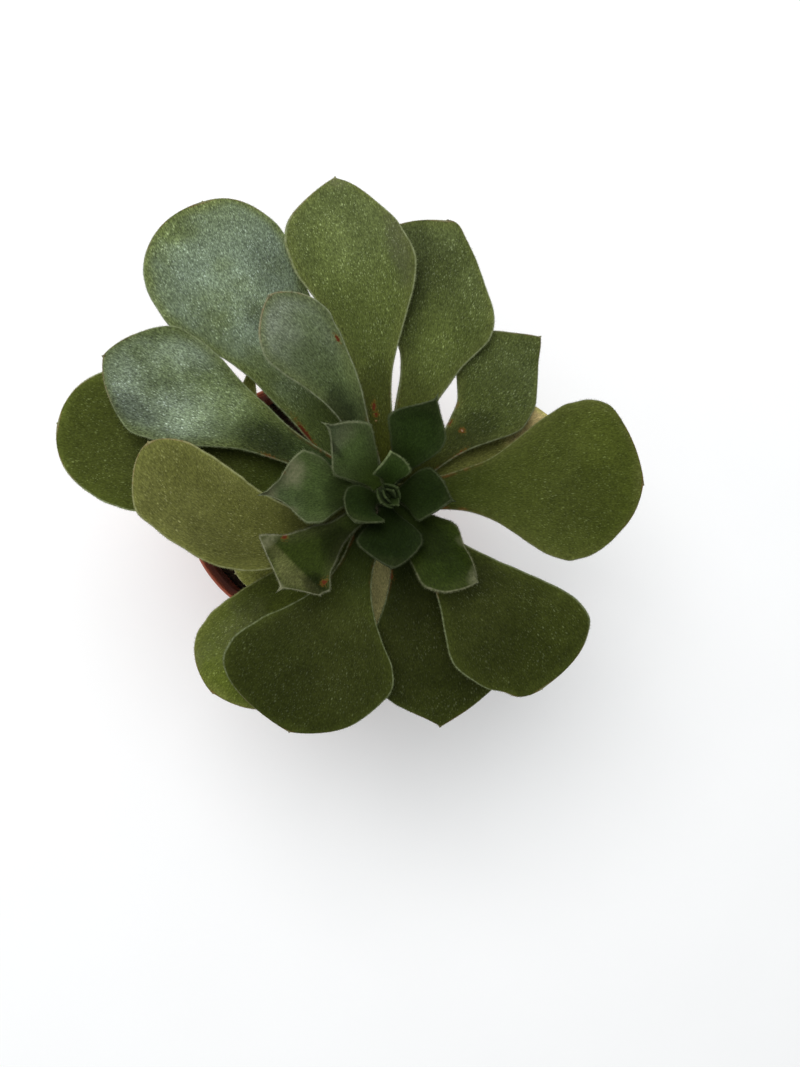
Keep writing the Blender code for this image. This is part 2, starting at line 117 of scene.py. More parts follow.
def stem_centre(height):
    """The stem's middle at a height: on the pot's axis in the soil, on the rosette's above."""
    lean = ease((height - SOIL_TOP) / (STEM_UPRIGHT_FROM - SOIL_TOP))
    return Vector((ROSETTE_X * lean, ROSETTE_Y * lean, height))


print("the stem leans", round(stem_centre(STEM_TOP).x / MM, 1), "mm off the pot's axis")

# %% [markdown]
# An aeonium leaf is a thick spoon: a narrow neck that clasps the stem, a blade that is widest near its
# end, and a short point.
#
# Each leaf could be sculpted by hand, but twenty-six of them would soon drift apart in style. So a leaf is
# a row in a table, with the few sizes that set it apart, and one function turns a row into a surface.

# %% The leaf table
@dataclass
class Leaf:
    """One leaf, in degrees and millimetres.

    azimuth and reach place its tip, seen from above, round the rosette's axis. foot and tip are the
    heights above the ground of its two ends. arch is how far the middle of the midrib stands above the
    straight line between them, and bow how far it stands to the left of it. The blade is widest at the
    share wide_at of the length. neck is the width at the foot, and a larger waist keeps the leaf narrow
    further out. shoulder and point shape its end: a larger shoulder is squarer, and point runs from 1, a
    straight-sided point, to 2, a round end. cup lifts the margins, roll turns the left margin up, and
    skew moves width to the left towards the tip. body is the thickness of the blade's middle. finish
    names the kind of leaf, and tone makes it lighter or darker, partly for its own colour and partly as
    painted light and shade. The last five are for the finer form only: how far the tip and the two
    margins near it curl up, how much the end narrows to a beak, and the swells of its margins.
    """
    azimuth: float
    reach: float
    foot: float
    tip: float
    width: float
    arch: float = 0.0
    bow: float = 0.0
    wide_at: float = 0.72
    shoulder: float = 2.2
    point: float = 1.5
    neck: float = 10.0
    waist: float = 1.15
    cup: float = 1.5
    roll: float = 0.0
    skew: float = 0.0
    body: float = 2.2
    on_bud: bool = False
    finish: str = "fresh"
    tone: float = 1.0
    tip_lift: float = 0.0
    left_lift: float = 0.0
    right_lift: float = 0.0
    beak: float = 0.0
    swells: tuple = ()


# Some tones are painted light and shade: the high tones of the under leaves and of the smallest heart leaf
# brighten leaves that lie in shade, and the deep and heart finishes are partly painted shade.
LEAVES = {
    "leaf_outer_01": Leaf(2.7, 95, 151.6, 166, 57.5, arch=3, bow=0.9, wide_at=0.73, shoulder=2.1,
                          point=1.5, waist=1.8, neck=12, skew=0.15, finish="warm", tone=0.68),
    "leaf_outer_02": Leaf(45.3, 83.5, 146.6, 158, 37, arch=2, bow=-4, wide_at=0.71, shoulder=1.5,
                          point=1.2, waist=2.6, neck=8, skew=0.45, tone=0.68),
    "leaf_outer_03": Leaf(76.9, 101.6, 150, 163, 48, arch=4, bow=-4, wide_at=0.71, shoulder=1.5,
                          point=2.4, waist=3, neck=11, skew=0.44, tone=0.84),
    "leaf_outer_04": Leaf(99.4, 110.5, 155, 172, 41, arch=4, bow=-3.5, wide_at=0.75, shoulder=2.4,
                          point=1.25, waist=2.05, neck=9.6, skew=0.19, tone=0.98),
    "leaf_outer_05": Leaf(121.7, 121.3, 148.2, 158, 52.5, arch=3, bow=5.3, wide_at=0.8, shoulder=1.75,
                          point=2.25, waist=2, neck=14, skew=0.16, finish="bloomed_and_sheened"),
    "leaf_outer_06": Leaf(154, 107.7, 151.6, 163, 40, arch=3, bow=-1, wide_at=0.81, shoulder=1.5,
                          point=1.4, waist=1.9, neck=9.4, finish="shaded"),
    "leaf_outer_07": Leaf(167.5, 116.5, 144.8, 153, 51, arch=3, bow=-1, wide_at=0.75, shoulder=1.8,
                          point=2.1, finish="deep_and_shaded", tone=1.55),
    "leaf_outer_08": Leaf(167.6, 83.3, 155, 166, 32.8, arch=5, bow=19.8, wide_at=0.66, shoulder=3.6,
                          point=1.65, waist=0.95, neck=11.5, roll=-12, finish="olive"),
    "leaf_outer_09": Leaf(230, 95.3, 145.2, 136, 42.7, arch=5, bow=0.9, wide_at=0.78, shoulder=2.2,
                          point=1.55, waist=1, skew=0.04, finish="warm", tone=1.08),
    "leaf_outer_10": Leaf(248.8, 92, 151.8, 148, 60.2, arch=6, bow=0.5, wide_at=0.72, shoulder=2.2,
                          point=1.34, waist=2, neck=11.3, skew=-0.16, finish="deep_and_shaded", tone=0.9),
    "leaf_outer_11": Leaf(285.3, 90, 148.4, 141, 54, arch=5, bow=2.8, wide_at=0.72, shoulder=1.7,
                          point=0.97, waist=1.3, neck=8.2, skew=0.2, finish="deep_and_shaded", tone=0.76),
    "leaf_outer_12": Leaf(309.9, 92, 155, 158, 48.5, arch=4, bow=3, wide_at=0.76, shoulder=2.4, point=2.1,
                          waist=1.5, neck=12, skew=0.24, finish="deep_and_shaded", tone=0.97),
    "leaf_under_01": Leaf(24, 73, 143.4, 148, 34, arch=2, wide_at=0.72, shoulder=1.8, point=1.2,
                          finish="tan", tone=2.8),
    "leaf_under_02": Leaf(134, 67.5, 138, 140, 9, bow=21, wide_at=0.7, neck=6, finish="olive", tone=1.8),
    "leaf_under_03": Leaf(208, 60, 141.4, 136, 30, arch=2, wide_at=0.7, shoulder=2.4, point=1.8,
                          finish="olive", tone=3),
    "leaf_under_04": Leaf(266, 62, 141.8, 134, 26, arch=2, wide_at=0.7, neck=8, finish="petiole_and_painted_light",
                          tone=1.8),
    "leaf_middle": Leaf(122.7, 74.3, 158.4, 192, 26, arch=-2, bow=-4.2, wide_at=0.83, shoulder=1.7,
                        point=1.4, waist=2, neck=6.8, skew=0.15, finish="slate", tip_lift=-2),
    "leaf_heart_01": Leaf(353.8, 22, 162.5, 181, 19, arch=-1, bow=1.3, wide_at=0.55, shoulder=1.2,
                          point=1, waist=0.8, neck=6, finish="heart", tone=0.8, tip_lift=1.5,
                          left_lift=1),
    "leaf_heart_02": Leaf(66, 36.5, 159.5, 187, 21.2, arch=-2, bow=-0.7, wide_at=0.66, shoulder=1.5,
                          point=0.85, waist=1.25, neck=5.8, skew=0.3, finish="heart", tone=1.2,
                          tip_lift=2, left_lift=1.5),
    "leaf_heart_03": Leaf(136, 33.3, 162, 187, 20.2, arch=-2, bow=-1.3, wide_at=0.6, shoulder=1.2,
                          point=0.85, waist=0.8, neck=6.5, skew=-0.34, finish="heart_pale", tone=0.92,
                          tip_lift=2, left_lift=2, right_lift=1, beak=0.08),
    "leaf_heart_04": Leaf(181, 44.2, 160.5, 184, 25.5, arch=-1, bow=-1.4, wide_at=0.63, shoulder=1.2,
                          point=0.85, neck=6, skew=-0.27, finish="heart_pale", tip_lift=1, left_lift=2,
                          right_lift=3, beak=0.22),
    "leaf_heart_05": Leaf(220.7, 50.5, 158.2, 176, 27.8, arch=0, bow=-1.1, wide_at=0.82, shoulder=1.1,
                          point=0.85, waist=2.1, neck=7, skew=-0.2, finish="heart_folded", tip_lift=5,
                          left_lift=1),
    "leaf_heart_06": Leaf(270.5, 24.8, 162.5, 180, 22.6, arch=-1, bow=0.7, wide_at=0.6, shoulder=1.8,
                          point=1.2, waist=0.8, neck=7, skew=-0.18, finish="heart", tone=0.62),
    "leaf_heart_07": Leaf(315.7, 43, 159, 177, 21.8, arch=0, bow=-0.5, wide_at=0.6, shoulder=1.8,
                          point=1.35, waist=0.8, neck=8, skew=-0.4, finish="heart_rimmed", tip_lift=1,
                          left_lift=3.5),
    "leaf_heart_08": Leaf(90.5, 14.3, 164.8, 181, 13, arch=-1, bow=-0.9, wide_at=0.55, shoulder=1.25,
                          point=1.4, waist=1.5, neck=4.5, skew=0.1, finish="heart", tone=2.6, left_lift=1,
                          right_lift=1),
    "leaf_heart_09": Leaf(218, 15, 165, 178, 16, arch=-1, bow=-2, wide_at=0.55, shoulder=3, point=1.9,
                          waist=0.8, neck=6, skew=0.3, finish="heart", tone=1,
                          left_lift=0.5, right_lift=0.5),
}

ON_BUD = {"on_bud": True, "finish": "bud"}
OUTER_PAIR = {"wide_at": 0.5, "shoulder": 1.8, "point": 1.1, "neck": 4, "cup": 0.8, "body": 1.2, **ON_BUD}
INNER_PAIR = {"wide_at": 0.5, "shoulder": 1.5, "point": 1, "neck": 3, "cup": 0.5, "body": 0.9, **ON_BUD}
BUD_LEAVES = (
    Leaf(222, 4, 170, 177.6, 8.6, **OUTER_PAIR),
    Leaf(44, 3.4, 170.4, 178, 8, **OUTER_PAIR),
    Leaf(310, 4.6, 170.2, 177, 5.2, wide_at=0.55, shoulder=1.4, point=1, neck=3, cup=1, body=1.1, **ON_BUD),
    Leaf(214, 1.8, 171.4, 178.6, 5.4, **INNER_PAIR),
    Leaf(50, 1.5, 171.6, 179, 4.8, **INNER_PAIR),
)
print("leaves in the table:", len(LEAVES), "and on the bud:", len(BUD_LEAVES))

# %% [markdown]
# A living leaf is never quite even: one margin swells a little where it had room, and the other draws in
# where a neighbour pressed on it.
#
# The margins could be drawn point by point, but then the leaf would lose its plain rule. Instead a few
# soft swells are added to the rule, each no more than two or three millimetres high.

# %% Swells of the margins
LEFT = 1.0
RIGHT = -1.0

# A leaf's swells: side, share of the length, spread along the length, height in mm
SWELLS = {
    "leaf_outer_01": ((LEFT, 0.27, 0.05, 0.9), (LEFT, 0.72, 0.06, -0.7), (LEFT, 0.88, 0.03, 0.6),
                      (RIGHT, 0.63, 0.09, 1.4), (RIGHT, 0.88, 0.05, -1.1)),
    "leaf_outer_02": ((LEFT, 0.5, 0.04, -1), (LEFT, 0.9, 0.02, 0.7), (RIGHT, 0.6, 0.04, 0.8),
                      (RIGHT, 0.9, 0.06, -1.2)),
    "leaf_outer_03": ((LEFT, 0.3, 0.08, 1.4), (LEFT, 0.52, 0.06, -1.4), (LEFT, 0.95, 0.04, 1.4),
                      (RIGHT, 0.4, 0.06, 1.4), (RIGHT, 0.6, 0.06, 2.3), (RIGHT, 0.73, 0.06, 0.9),
                      (RIGHT, 0.94, 0.045, -1.8)),
    "leaf_outer_04": ((LEFT, 0.28, 0.07, 1), (LEFT, 0.6, 0.09, -1.6), (LEFT, 0.91, 0.05, 1.3),
                      (RIGHT, 0.36, 0.09, -1), (RIGHT, 0.69, 0.07, 2.3), (RIGHT, 0.91, 0.05, -2.1)),
    "leaf_outer_05": ((LEFT, 0.5, 0.06, -1.4), (LEFT, 0.7, 0.03, 0.9), (LEFT, 0.85, 0.03, -0.6),
                      (RIGHT, 0.57, 0.05, 2.6)),
    "leaf_outer_06": ((LEFT, 0.47, 0.05, -0.6), (RIGHT, 0.43, 0.04, 0.7), (LEFT, 0.87, 0.04, -0.6)),
    "leaf_outer_07": ((LEFT, 0.84, 0.06, -0.7),),
    "leaf_outer_08": ((LEFT, 0.68, 0.05, -0.8), (LEFT, 0.86, 0.035, 2.1), (RIGHT, 0.66, 0.05, 0.6),
                      (RIGHT, 0.87, 0.04, -0.6)),
    "leaf_outer_10": ((LEFT, 0.62, 0.06, 1.3), (LEFT, 0.8, 0.04, -0.7), (RIGHT, 0.65, 0.05, -0.5)),
    "leaf_outer_11": ((LEFT, 0.85, 0.04, -1), (RIGHT, 0.95, 0.03, -0.6)),
    "leaf_outer_12": ((LEFT, 0.68, 0.08, -1.2), (LEFT, 0.9, 0.04, 0.8), (RIGHT, 0.66, 0.08, 2),
                      (RIGHT, 0.92, 0.04, -2.1)),
    "leaf_middle": ((RIGHT, 0.42, 0.11, 1.7), (LEFT, 0.87, 0.03, -0.7), (RIGHT, 0.8, 0.02, 0.6)),
    "leaf_heart_04": ((LEFT, 0.58, 0.06, -1), (RIGHT, 0.48, 0.06, 0.8), (RIGHT, 0.85, 0.03, -0.7)),
    "leaf_heart_05": ((LEFT, 0.6, 0.05, -0.9), (LEFT, 0.72, 0.03, 1.4), (RIGHT, 0.46, 0.05, 1.1),
                      (RIGHT, 0.67, 0.04, -1.3), (RIGHT, 0.8, 0.02, 1)),
    "leaf_heart_07": ((LEFT, 0.69, 0.07, -0.9), (RIGHT, 0.68, 0.06, 0.8)),
}


def margin_swell(leaf, share, side):
    """How far the margin on one side stands outside the plain rule, in metres."""
    total = 0.0
    for swell_side, place, spread, height in leaf.swells:
        if swell_side == side:
            total += height * MM * math.exp(-0.5 * ((share - place) / spread) ** 2)
    return total


for name, swells in SWELLS.items():
    LEAVES[name].swells = swells
middle_leaf = LEAVES["leaf_middle"]
middle_swell = margin_swell(middle_leaf, 0.4, RIGHT)
print("swell of the middle leaf's right margin:", round(middle_swell / MM, 2), "mm")

# %% [markdown]
# A leaf's section is a thin lens with round margins, and it changes all the way from foot to tip.
#
# Seventy sections with forty-four points each follow the outline closely. The solids have fourteen with
# ten, so the fine surface adds what a coarse one can't hold: the margin's round edge, the shallow channel
# along the midrib and the slow waves of a living blade. Each point also remembers how far it is from the
# margin and along the midrib, because the colours follow those two.

# %% Rules for a leaf's form
MARGIN_THICKNESS = 0.8 * MM
FOOT_THICKNESS = 2.6 * MM
FOOT_WIDTH_SHARE = 0.75
TIP_WIDTH = 1.0 * MM
BUD_ROOT = 0.8 * MM
LEAF_GAP = 0.3 * MM
END_THINNING = 0.7

# Shares of a leaf's length at which its form changes
NECK_FULL = 0.15
BLADE_STARTS = 0.06
FOOT_THINNED = 0.4
ROLL_FULL = 0.5
END_THINS = 0.75


def leaf_half_width(leaf, share):
    """Half of the blade's width at a share of its length, in metres."""
    if share <= leaf.wide_at:
        spread = ease((share - BLADE_STARTS) / (leaf.wide_at - BLADE_STARTS)) ** leaf.waist
        neck = leaf.neck * (FOOT_WIDTH_SHARE + (1.0 - FOOT_WIDTH_SHARE) * ease(share / NECK_FULL))
        return 0.5 * MM * (neck + (leaf.width - neck) * spread)
    beyond = (share - leaf.wide_at) / (1.0 - leaf.wide_at)
    outline = max(0.0, 1.0 - beyond ** leaf.shoulder) ** (1.0 / leaf.point)
    return max(0.5 * TIP_WIDTH, 0.5 * MM * leaf.width * outline)


def leaf_directions(azimuth):
    """The level directions outwards and to the left at an azimuth in degrees."""
    turn = math.radians(azimuth)
    return Vector((math.cos(turn), math.sin(turn), 0.0)), Vector((-math.sin(turn), math.cos(turn), 0.0))


def foot_azimuth(leaf):
    """Where a leaf's foot meets the stem: a bowed leaf starts out towards its bow."""
    return leaf.azimuth + math.degrees(math.atan(4.0 * leaf.bow / leaf.reach))


def leaf_midrib(leaf, share):
    """The midrib's point and its direction at a share of its length: a curve through three points."""
    out, left = leaf_directions(leaf.azimuth)
    foot_height = leaf.foot * MM
    foot_out, _ = leaf_directions(foot_azimuth(leaf))
    foot_reach = BUD_ROOT if leaf.on_bud else stem_radius(foot_height) + LEAF_GAP
    start = stem_centre(foot_height) + foot_out * foot_reach
    end = Vector((ROSETTE_X, ROSETTE_Y, leaf.tip * MM)) + out * leaf.reach * MM
    middle = (start + end) * 0.5 + (left * leaf.bow + Vector((0, 0, leaf.arch))) * (2.0 * MM)
    point = start * (1 - share) ** 2 + middle * (2 * share * (1 - share)) + end * share ** 2
    along = (middle - start) * (2 * (1 - share)) + (end - middle) * (2 * share)
    return point, along.normalized()


def leaf_thickness(leaf, share, across):
    """The leaf's thickness: a stout foot, a thinner blade, and thinnest at the margins."""
    middle = FOOT_THICKNESS + (leaf.body * MM - FOOT_THICKNESS) * ease(share / FOOT_THINNED)
    thinning = END_THINNING * ease((share - END_THINS) / (1.0 - END_THINS))
    middle = middle + (MARGIN_THICKNESS - middle) * thinning
    return MARGIN_THICKNESS + (middle - MARGIN_THICKNESS) * (1.0 - across * across)


def leaf_frame(leaf, share):
    """The midrib's point and the directions along, to the left and up at a share of the length."""
    point, along = leaf_midrib(leaf, share)
    left = Vector((0, 0, 1)).cross(along).normalized()
    up = along.cross(left).normalized()
    turn = math.radians(leaf.roll) * ease(share / ROLL_FULL)
    left, up = left * math.cos(turn) + up * math.sin(turn), up * math.cos(turn) - left * math.sin(turn)
    return point, along, left, up


print("longest reach in mm:", max(leaf.reach for leaf in LEAVES.values()))

# %% [markdown]
# A living blade is never a perfect spoon.
#
# It has slow waves, a channel over its midrib, an outline with small uneven steps, and a tip that may
# curl. Noise alone would look restless, so each of these is a short rule with a size of its own, and only
# the small steps of the outline come from noise.

# %% Waves, bends and curls
WAVE_HEIGHT = 0.55 * MM
WAVES_ALONG = 1.25
RIPPLES_ALONG = 2.3
RIPPLE_SHARE = 0.6
RIPPLE_TURN = 1.7
WAVES_FULL = 0.5
CALM_BELOW = 40.0  # mm: a narrower leaf has lower waves
OUTLINE_WOBBLE = 0.010
WOBBLES_ALONG = 2.6
OUTLINE_STEPS = 0.022
STEPS_ALONG = 17.0
BEAK_STARTS = 0.62
BEAK_GROWS = 0.26
BEAK_ENDS = 0.05
CURL_STARTS = 0.66
CURL_AT_START = 0.25
TIP_CURL_POWER = 1.6
MARGIN_CURL_STARTS = 0.35
MARGIN_CURL_GROWS = 0.4
MARGIN_CURL_POWER = 2.5
CHANNEL_DEPTH = 0.45 * MM
CHANNEL_WIDTH = 2.6 * MM


def leaf_wave(share, across, phase):
    """How far the blade's slow waves lift a point. They grow from the foot and towards the margins."""
    swing = math.sin(math.tau * WAVES_ALONG * share + phase) * across
    turn = math.tau * RIPPLES_ALONG * share + RIPPLE_TURN * phase
    ripple = RIPPLE_SHARE * math.sin(turn) * across * across
    return WAVE_HEIGHT * ease(share / WAVES_FULL) * (swing + ripple)


def leaf_channel(share, side):
    """The depth of the channel along the midrib, which fades towards the tip."""
    return CHANNEL_DEPTH * (1.0 - share) * math.exp(-(side / CHANNEL_WIDTH) ** 2)


def outline_wobble(leaf, share, phase):
    """How a living outline leaves the ideal one: slow bends, small uneven steps, and a narrowed end."""
    slow = OUTLINE_WOBBLE * math.sin(math.tau * WOBBLES_ALONG * share + phase)
    small = OUTLINE_STEPS * noise.noise(Vector((share * STEPS_ALONG, phase, 0.0)))
    beak = leaf.beak * ease((share - BEAK_STARTS) / BEAK_GROWS) * ease((1.0 - share) / BEAK_ENDS)
    return (1.0 + (slow + small) * ease(share / WAVES_FULL)) * (1.0 - beak)


def leaf_curl(leaf, share, across):
    """How far the tip and the margins near it curl up."""
    margin_lift = leaf.left_lift if across > 0.0 else leaf.right_lift
    towards_tip = ease((share - CURL_STARTS) / (1.0 - CURL_STARTS))
    grown = min(1.0, CURL_AT_START + (1.0 - CURL_AT_START) * towards_tip)
    margin = margin_lift * abs(across) ** MARGIN_CURL_POWER * math.sin(math.pi * grown * 0.5)
    margin *= ease((share - MARGIN_CURL_STARTS) / MARGIN_CURL_GROWS)
    return MM * (leaf.tip_lift * towards_tip ** TIP_CURL_POWER + margin)


print("a wave near the tip, at the margin:", round(leaf_wave(0.8, 1.0, 0.0) / MM, 2), "mm")

# %% One fine section across a leaf
BLADE_POINTS = 15
MARGIN_ANGLES = (30.0, 60.0, 90.0)
MARGIN_ROUND = 0.45 * MM
LARGEST_ROUNDING = 0.4
UPPER_SHARE = 0.4
SKEW_STARTS = 0.45
SKEW_FULL = 0.9
CLASP_REACH = 0.95
SUNK_IN_STEM = 0.3 * MM


def section_plan(half):
    """(across, thickness share) from the left margin over the upper face to just before the right one."""
    rounding = min(LARGEST_ROUNDING, MARGIN_ROUND / half)
    edge = [(1.0 - rounding * (1.0 - math.cos(math.radians(angle))), math.sin(math.radians(angle)))
            for angle in MARGIN_ANGLES]
    flat = 1.0 - rounding
    step = 2.0 * flat / (BLADE_POINTS + 1)
    blade = [(flat - step * (index + 1), 1.0) for index in range(BLADE_POINTS)]
    return [(1.0, 0.0)] + edge + blade + [(-across, thick) for across, thick in reversed(edge)]


def fine_section(leaf, share, phase):
    """The ring of points of one section: [(place, side, across, outwards), ...] round the leaf."""
    point, _, left, up = leaf_frame(leaf, share)
    half = leaf_half_width(leaf, share) * outline_wobble(leaf, share, phase)
    lift = leaf.cup * MM * (half / (0.5 * MM * leaf.width)) ** 2
    skew = leaf.skew * ease((share - SKEW_STARTS) / (SKEW_FULL - SKEW_STARTS))
    calm = min(1.0, leaf.width / CALM_BELOW)
    upper = []
    lower = []
    for across, thick in section_plan(half):
        for sign, ring in ((1.0, upper), (-1.0, lower)):
            place_across = across if sign > 0 else -across
            facing = math.copysign(1.0, place_across)
            side = half * place_across * (1.0 + facing * skew)
            side += place_across * margin_swell(leaf, share, facing)
            raised = lift * place_across ** 2 + calm * leaf_wave(share, place_across, phase)
            raised += leaf_curl(leaf, share, place_across)
            seat = point + left * side + up * raised
            thickness = leaf_thickness(leaf, share, place_across) * thick
            if sign > 0:
                seat = seat + up * (UPPER_SHARE * thickness - calm * leaf_channel(share, side))
            else:
                seat = seat - up * ((1.0 - UPPER_SHARE) * thickness)
            ring.append((seat, side, place_across, left * facing))
    return upper + lower


def clasp_stem(leaf, ring):
    """Moves a leaf's first ring just inside the stem, so that its foot fits round it."""
    out, left = leaf_directions(foot_azimuth(leaf))
    fitted = []
    for place, side, across, outwards in ring:
        reach = stem_radius(place.z) - SUNK_IN_STEM
        centre = stem_centre(place.z)
        sideways = (place - centre).dot(left)
        sideways = max(-CLASP_REACH * reach, min(CLASP_REACH * reach, sideways))
        place = centre + left * sideways + out * math.sqrt(reach * reach - sideways * sideways)
        fitted.append((place, side, across, outwards))
    return fitted


sample = fine_section(LEAVES["leaf_outer_01"], 0.7, 0.0)
print("points in one section:", len(sample))


# %% From sections to a leaf's mesh
LEAF_STATIONS = 70
TIP_LENGTH = 0.6 * MM
MIDRIB_CHORDS = 20
DECIMETRES = 10.0  # in a metre


def leaf_length(leaf):
    """The midrib's length, measured along short chords."""
    points = [leaf_midrib(leaf, index / MIDRIB_CHORDS)[0] for index in range(MIDRIB_CHORDS + 1)]
    return sum((after - before).length for before, after in zip(points, points[1:]))


def store(mesh, name, kind, values):
    """Keeps one number or vector for each point of a mesh under a name, for materials and hairs."""
    layer = mesh.attributes.new(name, kind, "POINT")
    field = "vector" if kind == "FLOAT_VECTOR" else "value"
    layer.data.foreach_set(field, values)


def tube_faces(rows, around):
    """The faces between the rings of a tube, each ring with as many points as there are around."""
    faces = []
    for start in range(0, rows * around, around):
        for index in range(around):
            after, above = (index + 1) % around, start + around
            faces.append((start + index, start + after, above + after, above + index))
    return faces


def cap_faces(row, around, middle):
    """The triangles that close a tube at one of its rings, round a point in the middle."""
    start = row * around
    return [(start + index, start + (index + 1) % around, middle) for index in range(around)]


def leaf_mesh(name, leaf, stations, phase):
    """A closed leaf with a UV map in decimetres and the attributes edge_mm, share, margin and outwards."""
    shares = [math.sin(0.5 * math.pi * index / stations) for index in range(stations + 1)]
    rings = [fine_section(leaf, share, phase) for share in shares]
    if not leaf.on_bud:
        rings[0] = clasp_stem(leaf, rings[0])
    length = leaf_length(leaf)
    count = len(rings[0])
    places, edge, along_share, margin, outwards, flat_places = [], [], [], [], [], []
    for share, ring in zip(shares, rings):
        half = leaf_half_width(leaf, share)
        to_tip = (1.0 - share) * length
        for index, (place, side, across, outward) in enumerate(ring):
            places.append(place)
            edge.append(min((1.0 - abs(across)) * half, to_tip) / MM)
            along_share.append(share)
            margin.append(1.0 if index in (0, count // 2) else 0.0)
            outwards.extend(outward)
            flat_places.append((side * DECIMETRES, share * length * DECIMETRES))
    tip_point, tip_along, _, _ = leaf_frame(leaf, 1.0)
    ends = ((0, sum((ring[0] for ring in rings[0]), Vector()) / count, 0.0),
            (stations, tip_point + tip_along * TIP_LENGTH, 1.0))
    faces = [(here, beyond, beyond_next, after)
             for here, after, beyond_next, beyond in tube_faces(stations, count)]
    for row, place, share in ends:
        faces += cap_faces(row, count, len(places))
        places.append(place)
        edge.append(0.0)
        along_share.append(share)
        margin.append(0.0)
        outwards.extend((0.0, 0.0, 1.0))
        flat_places.append((0.0, share * length * DECIMETRES))
    mesh = bpy.data.meshes.new(name)
    mesh.from_pydata(places, [], faces)
    for label, values in (("edge_mm", edge), ("share", along_share), ("margin", margin)):
        store(mesh, label, "FLOAT", values)
    store(mesh, "outwards", "FLOAT_VECTOR", outwards)
    layer = mesh.uv_layers.new(name="flat")
    for loop in mesh.loops:
        layer.data[loop.index].uv = flat_places[loop.vertex_index]
    return turned_outwards(mesh)


def turned_outwards(mesh):
    """The same mesh with every face pointing out and smooth shading."""
    work = bmesh.new()
    work.from_mesh(mesh)
    bmesh.ops.recalc_face_normals(work, faces=work.faces)
    work.to_mesh(mesh)
    work.free()
    mesh.shade_smooth()
    return mesh


def triangle_count(mesh):
    """How many triangles a mesh has once its larger faces are split."""
    return sum(len(face.vertices) - 2 for face in mesh.polygons)


trial = leaf_mesh("trial", LEAVES["leaf_outer_01"], LEAF_STATIONS, 0.0)
print("triangles in one leaf:", triangle_count(trial))
bpy.data.meshes.remove(trial)

# %% [markdown]
# Materials are built from small node groups, because many leaves share the same kind of surface.
#
# A few helpers keep the code short: one adds a node and fills its inputs, others stand for the sums that
# come again and again, and one starts a group with named inputs and outputs. A group puts out only what
# changes over the surface, such as a colour or a height.

# %% Helpers for node trees
def add(tree, kind, values=None, **settings):
    """Adds a node, sets its properties, and fills inputs with numbers, colours or other nodes' outputs."""
    made = tree.nodes.new(kind)
    for key, value in settings.items():
        setattr(made, key, value)
    for key, value in (values or {}).items():
        if isinstance(value, bpy.types.NodeSocket):
            tree.links.new(value, made.inputs[key])
        else:
            made.inputs[key].default_value = value
    return made


def blend_colours(tree, factor, first, second):
    """A Mix node for colours. Its sockets share names, so they are reached by their order."""
    return add(tree, "ShaderNodeMix", {0: factor, 6: first, 7: second}, data_type="RGBA").outputs[2]


def ramp(tree, value, low, high, to_low=0.0, to_high=1.0):
    """A smooth step of a value from low to high."""
    step = add(tree, "ShaderNodeMapRange", {"Value": value, "From Min": low, "From Max": high,
                                            "To Min": to_low, "To Max": to_high},
               interpolation_type="SMOOTHSTEP")
    return step.outputs["Result"]


def reckon(tree, operation, first, second=0.0, clamp=False):
    """A Math node."""
    made = add(tree, "ShaderNodeMath", {0: first, 1: second}, operation=operation, use_clamp=clamp)
    return made.outputs[0]


def times(tree, value, *others, clamp=False):
    """The product of some values."""
    for other in others:
        value = reckon(tree, "MULTIPLY", value, other, clamp)
    return value


def plus(tree, value, *others):
    """The sum of some values."""
    for other in others:
        value = reckon(tree, "ADD", value, other)
    return value


def vector_math(tree, operation, *values, output=0):
    """A Vector Math node."""
    made = add(tree, "ShaderNodeVectorMath", dict(enumerate(values)), operation=operation)
    return made.outputs[output]


def mapped(tree, vector, scale, turn=(0.0, 0.0, 0.0)):
    """A place turned and stretched, so that a pattern read there is turned and squeezed."""
    return add(tree, "ShaderNodeMapping", {"Vector": vector, "Rotation": turn, "Scale": scale}).outputs[0]


def attribute(tree, name):
    """A number that a mesh keeps for each of its points."""
    return add(tree, "ShaderNodeAttribute", attribute_name=name).outputs["Fac"]


def grain(tree, vector, scale, detail=3.0, roughness=0.5):
    """A noise value between 0 and 1."""
    return add(tree, "ShaderNodeTexNoise", {"Vector": vector, "Scale": scale, "Detail": detail,
                                            "Roughness": roughness}).outputs["Fac"]


def start_group(name, inputs, outputs):
    """An empty shader node group with named inputs (name: kind) and outputs."""
    group = bpy.data.node_groups.new(name, "ShaderNodeTree")
    for label, kind in inputs.items():
        group.interface.new_socket(label, in_out="INPUT", socket_type="NodeSocket" + kind)
    for label, kind in outputs.items():
        group.interface.new_socket(label, in_out="OUTPUT", socket_type="NodeSocket" + kind)
    return group, group.nodes.new("NodeGroupInput").outputs, group.nodes.new("NodeGroupOutput").inputs


def place_group(tree, group, values):
    """Puts a node group into a tree with its inputs filled and returns its outputs."""
    return add(tree, "ShaderNodeGroup", values, node_tree=group).outputs


def start_material(name, roughness, **constants):
    """A material whose plain values sit on the shader's own sockets, and the place on the piece."""
    material = bpy.data.materials.new(name)
    material.use_nodes = True
    tree = material.node_tree
    shader = tree.nodes["Principled BSDF"]
    shader.inputs["Roughness"].default_value = roughness
    for label, value in constants.items():
        shader.inputs[label.replace("_", " ")].default_value = value
    return material, tree, shader, add(tree, "ShaderNodeTexCoord").outputs["Object"]


def link_surface(tree, shader, colour, roughness=None, relief=None, strength=0.6, depth=0.4):
    """Links a colour, and where given a roughness and a relief of some depth in mm, to the shader."""
    tree.links.new(colour, shader.inputs["Base Color"])
    if roughness is not None:
        tree.links.new(roughness, shader.inputs["Roughness"])
    if relief is not None:
        bump = add(tree, "ShaderNodeBump", {"Height": relief, "Strength": strength, "Distance": depth * MM})
        tree.links.new(bump.outputs["Normal"], shader.inputs["Normal"])


print("node helpers are ready")
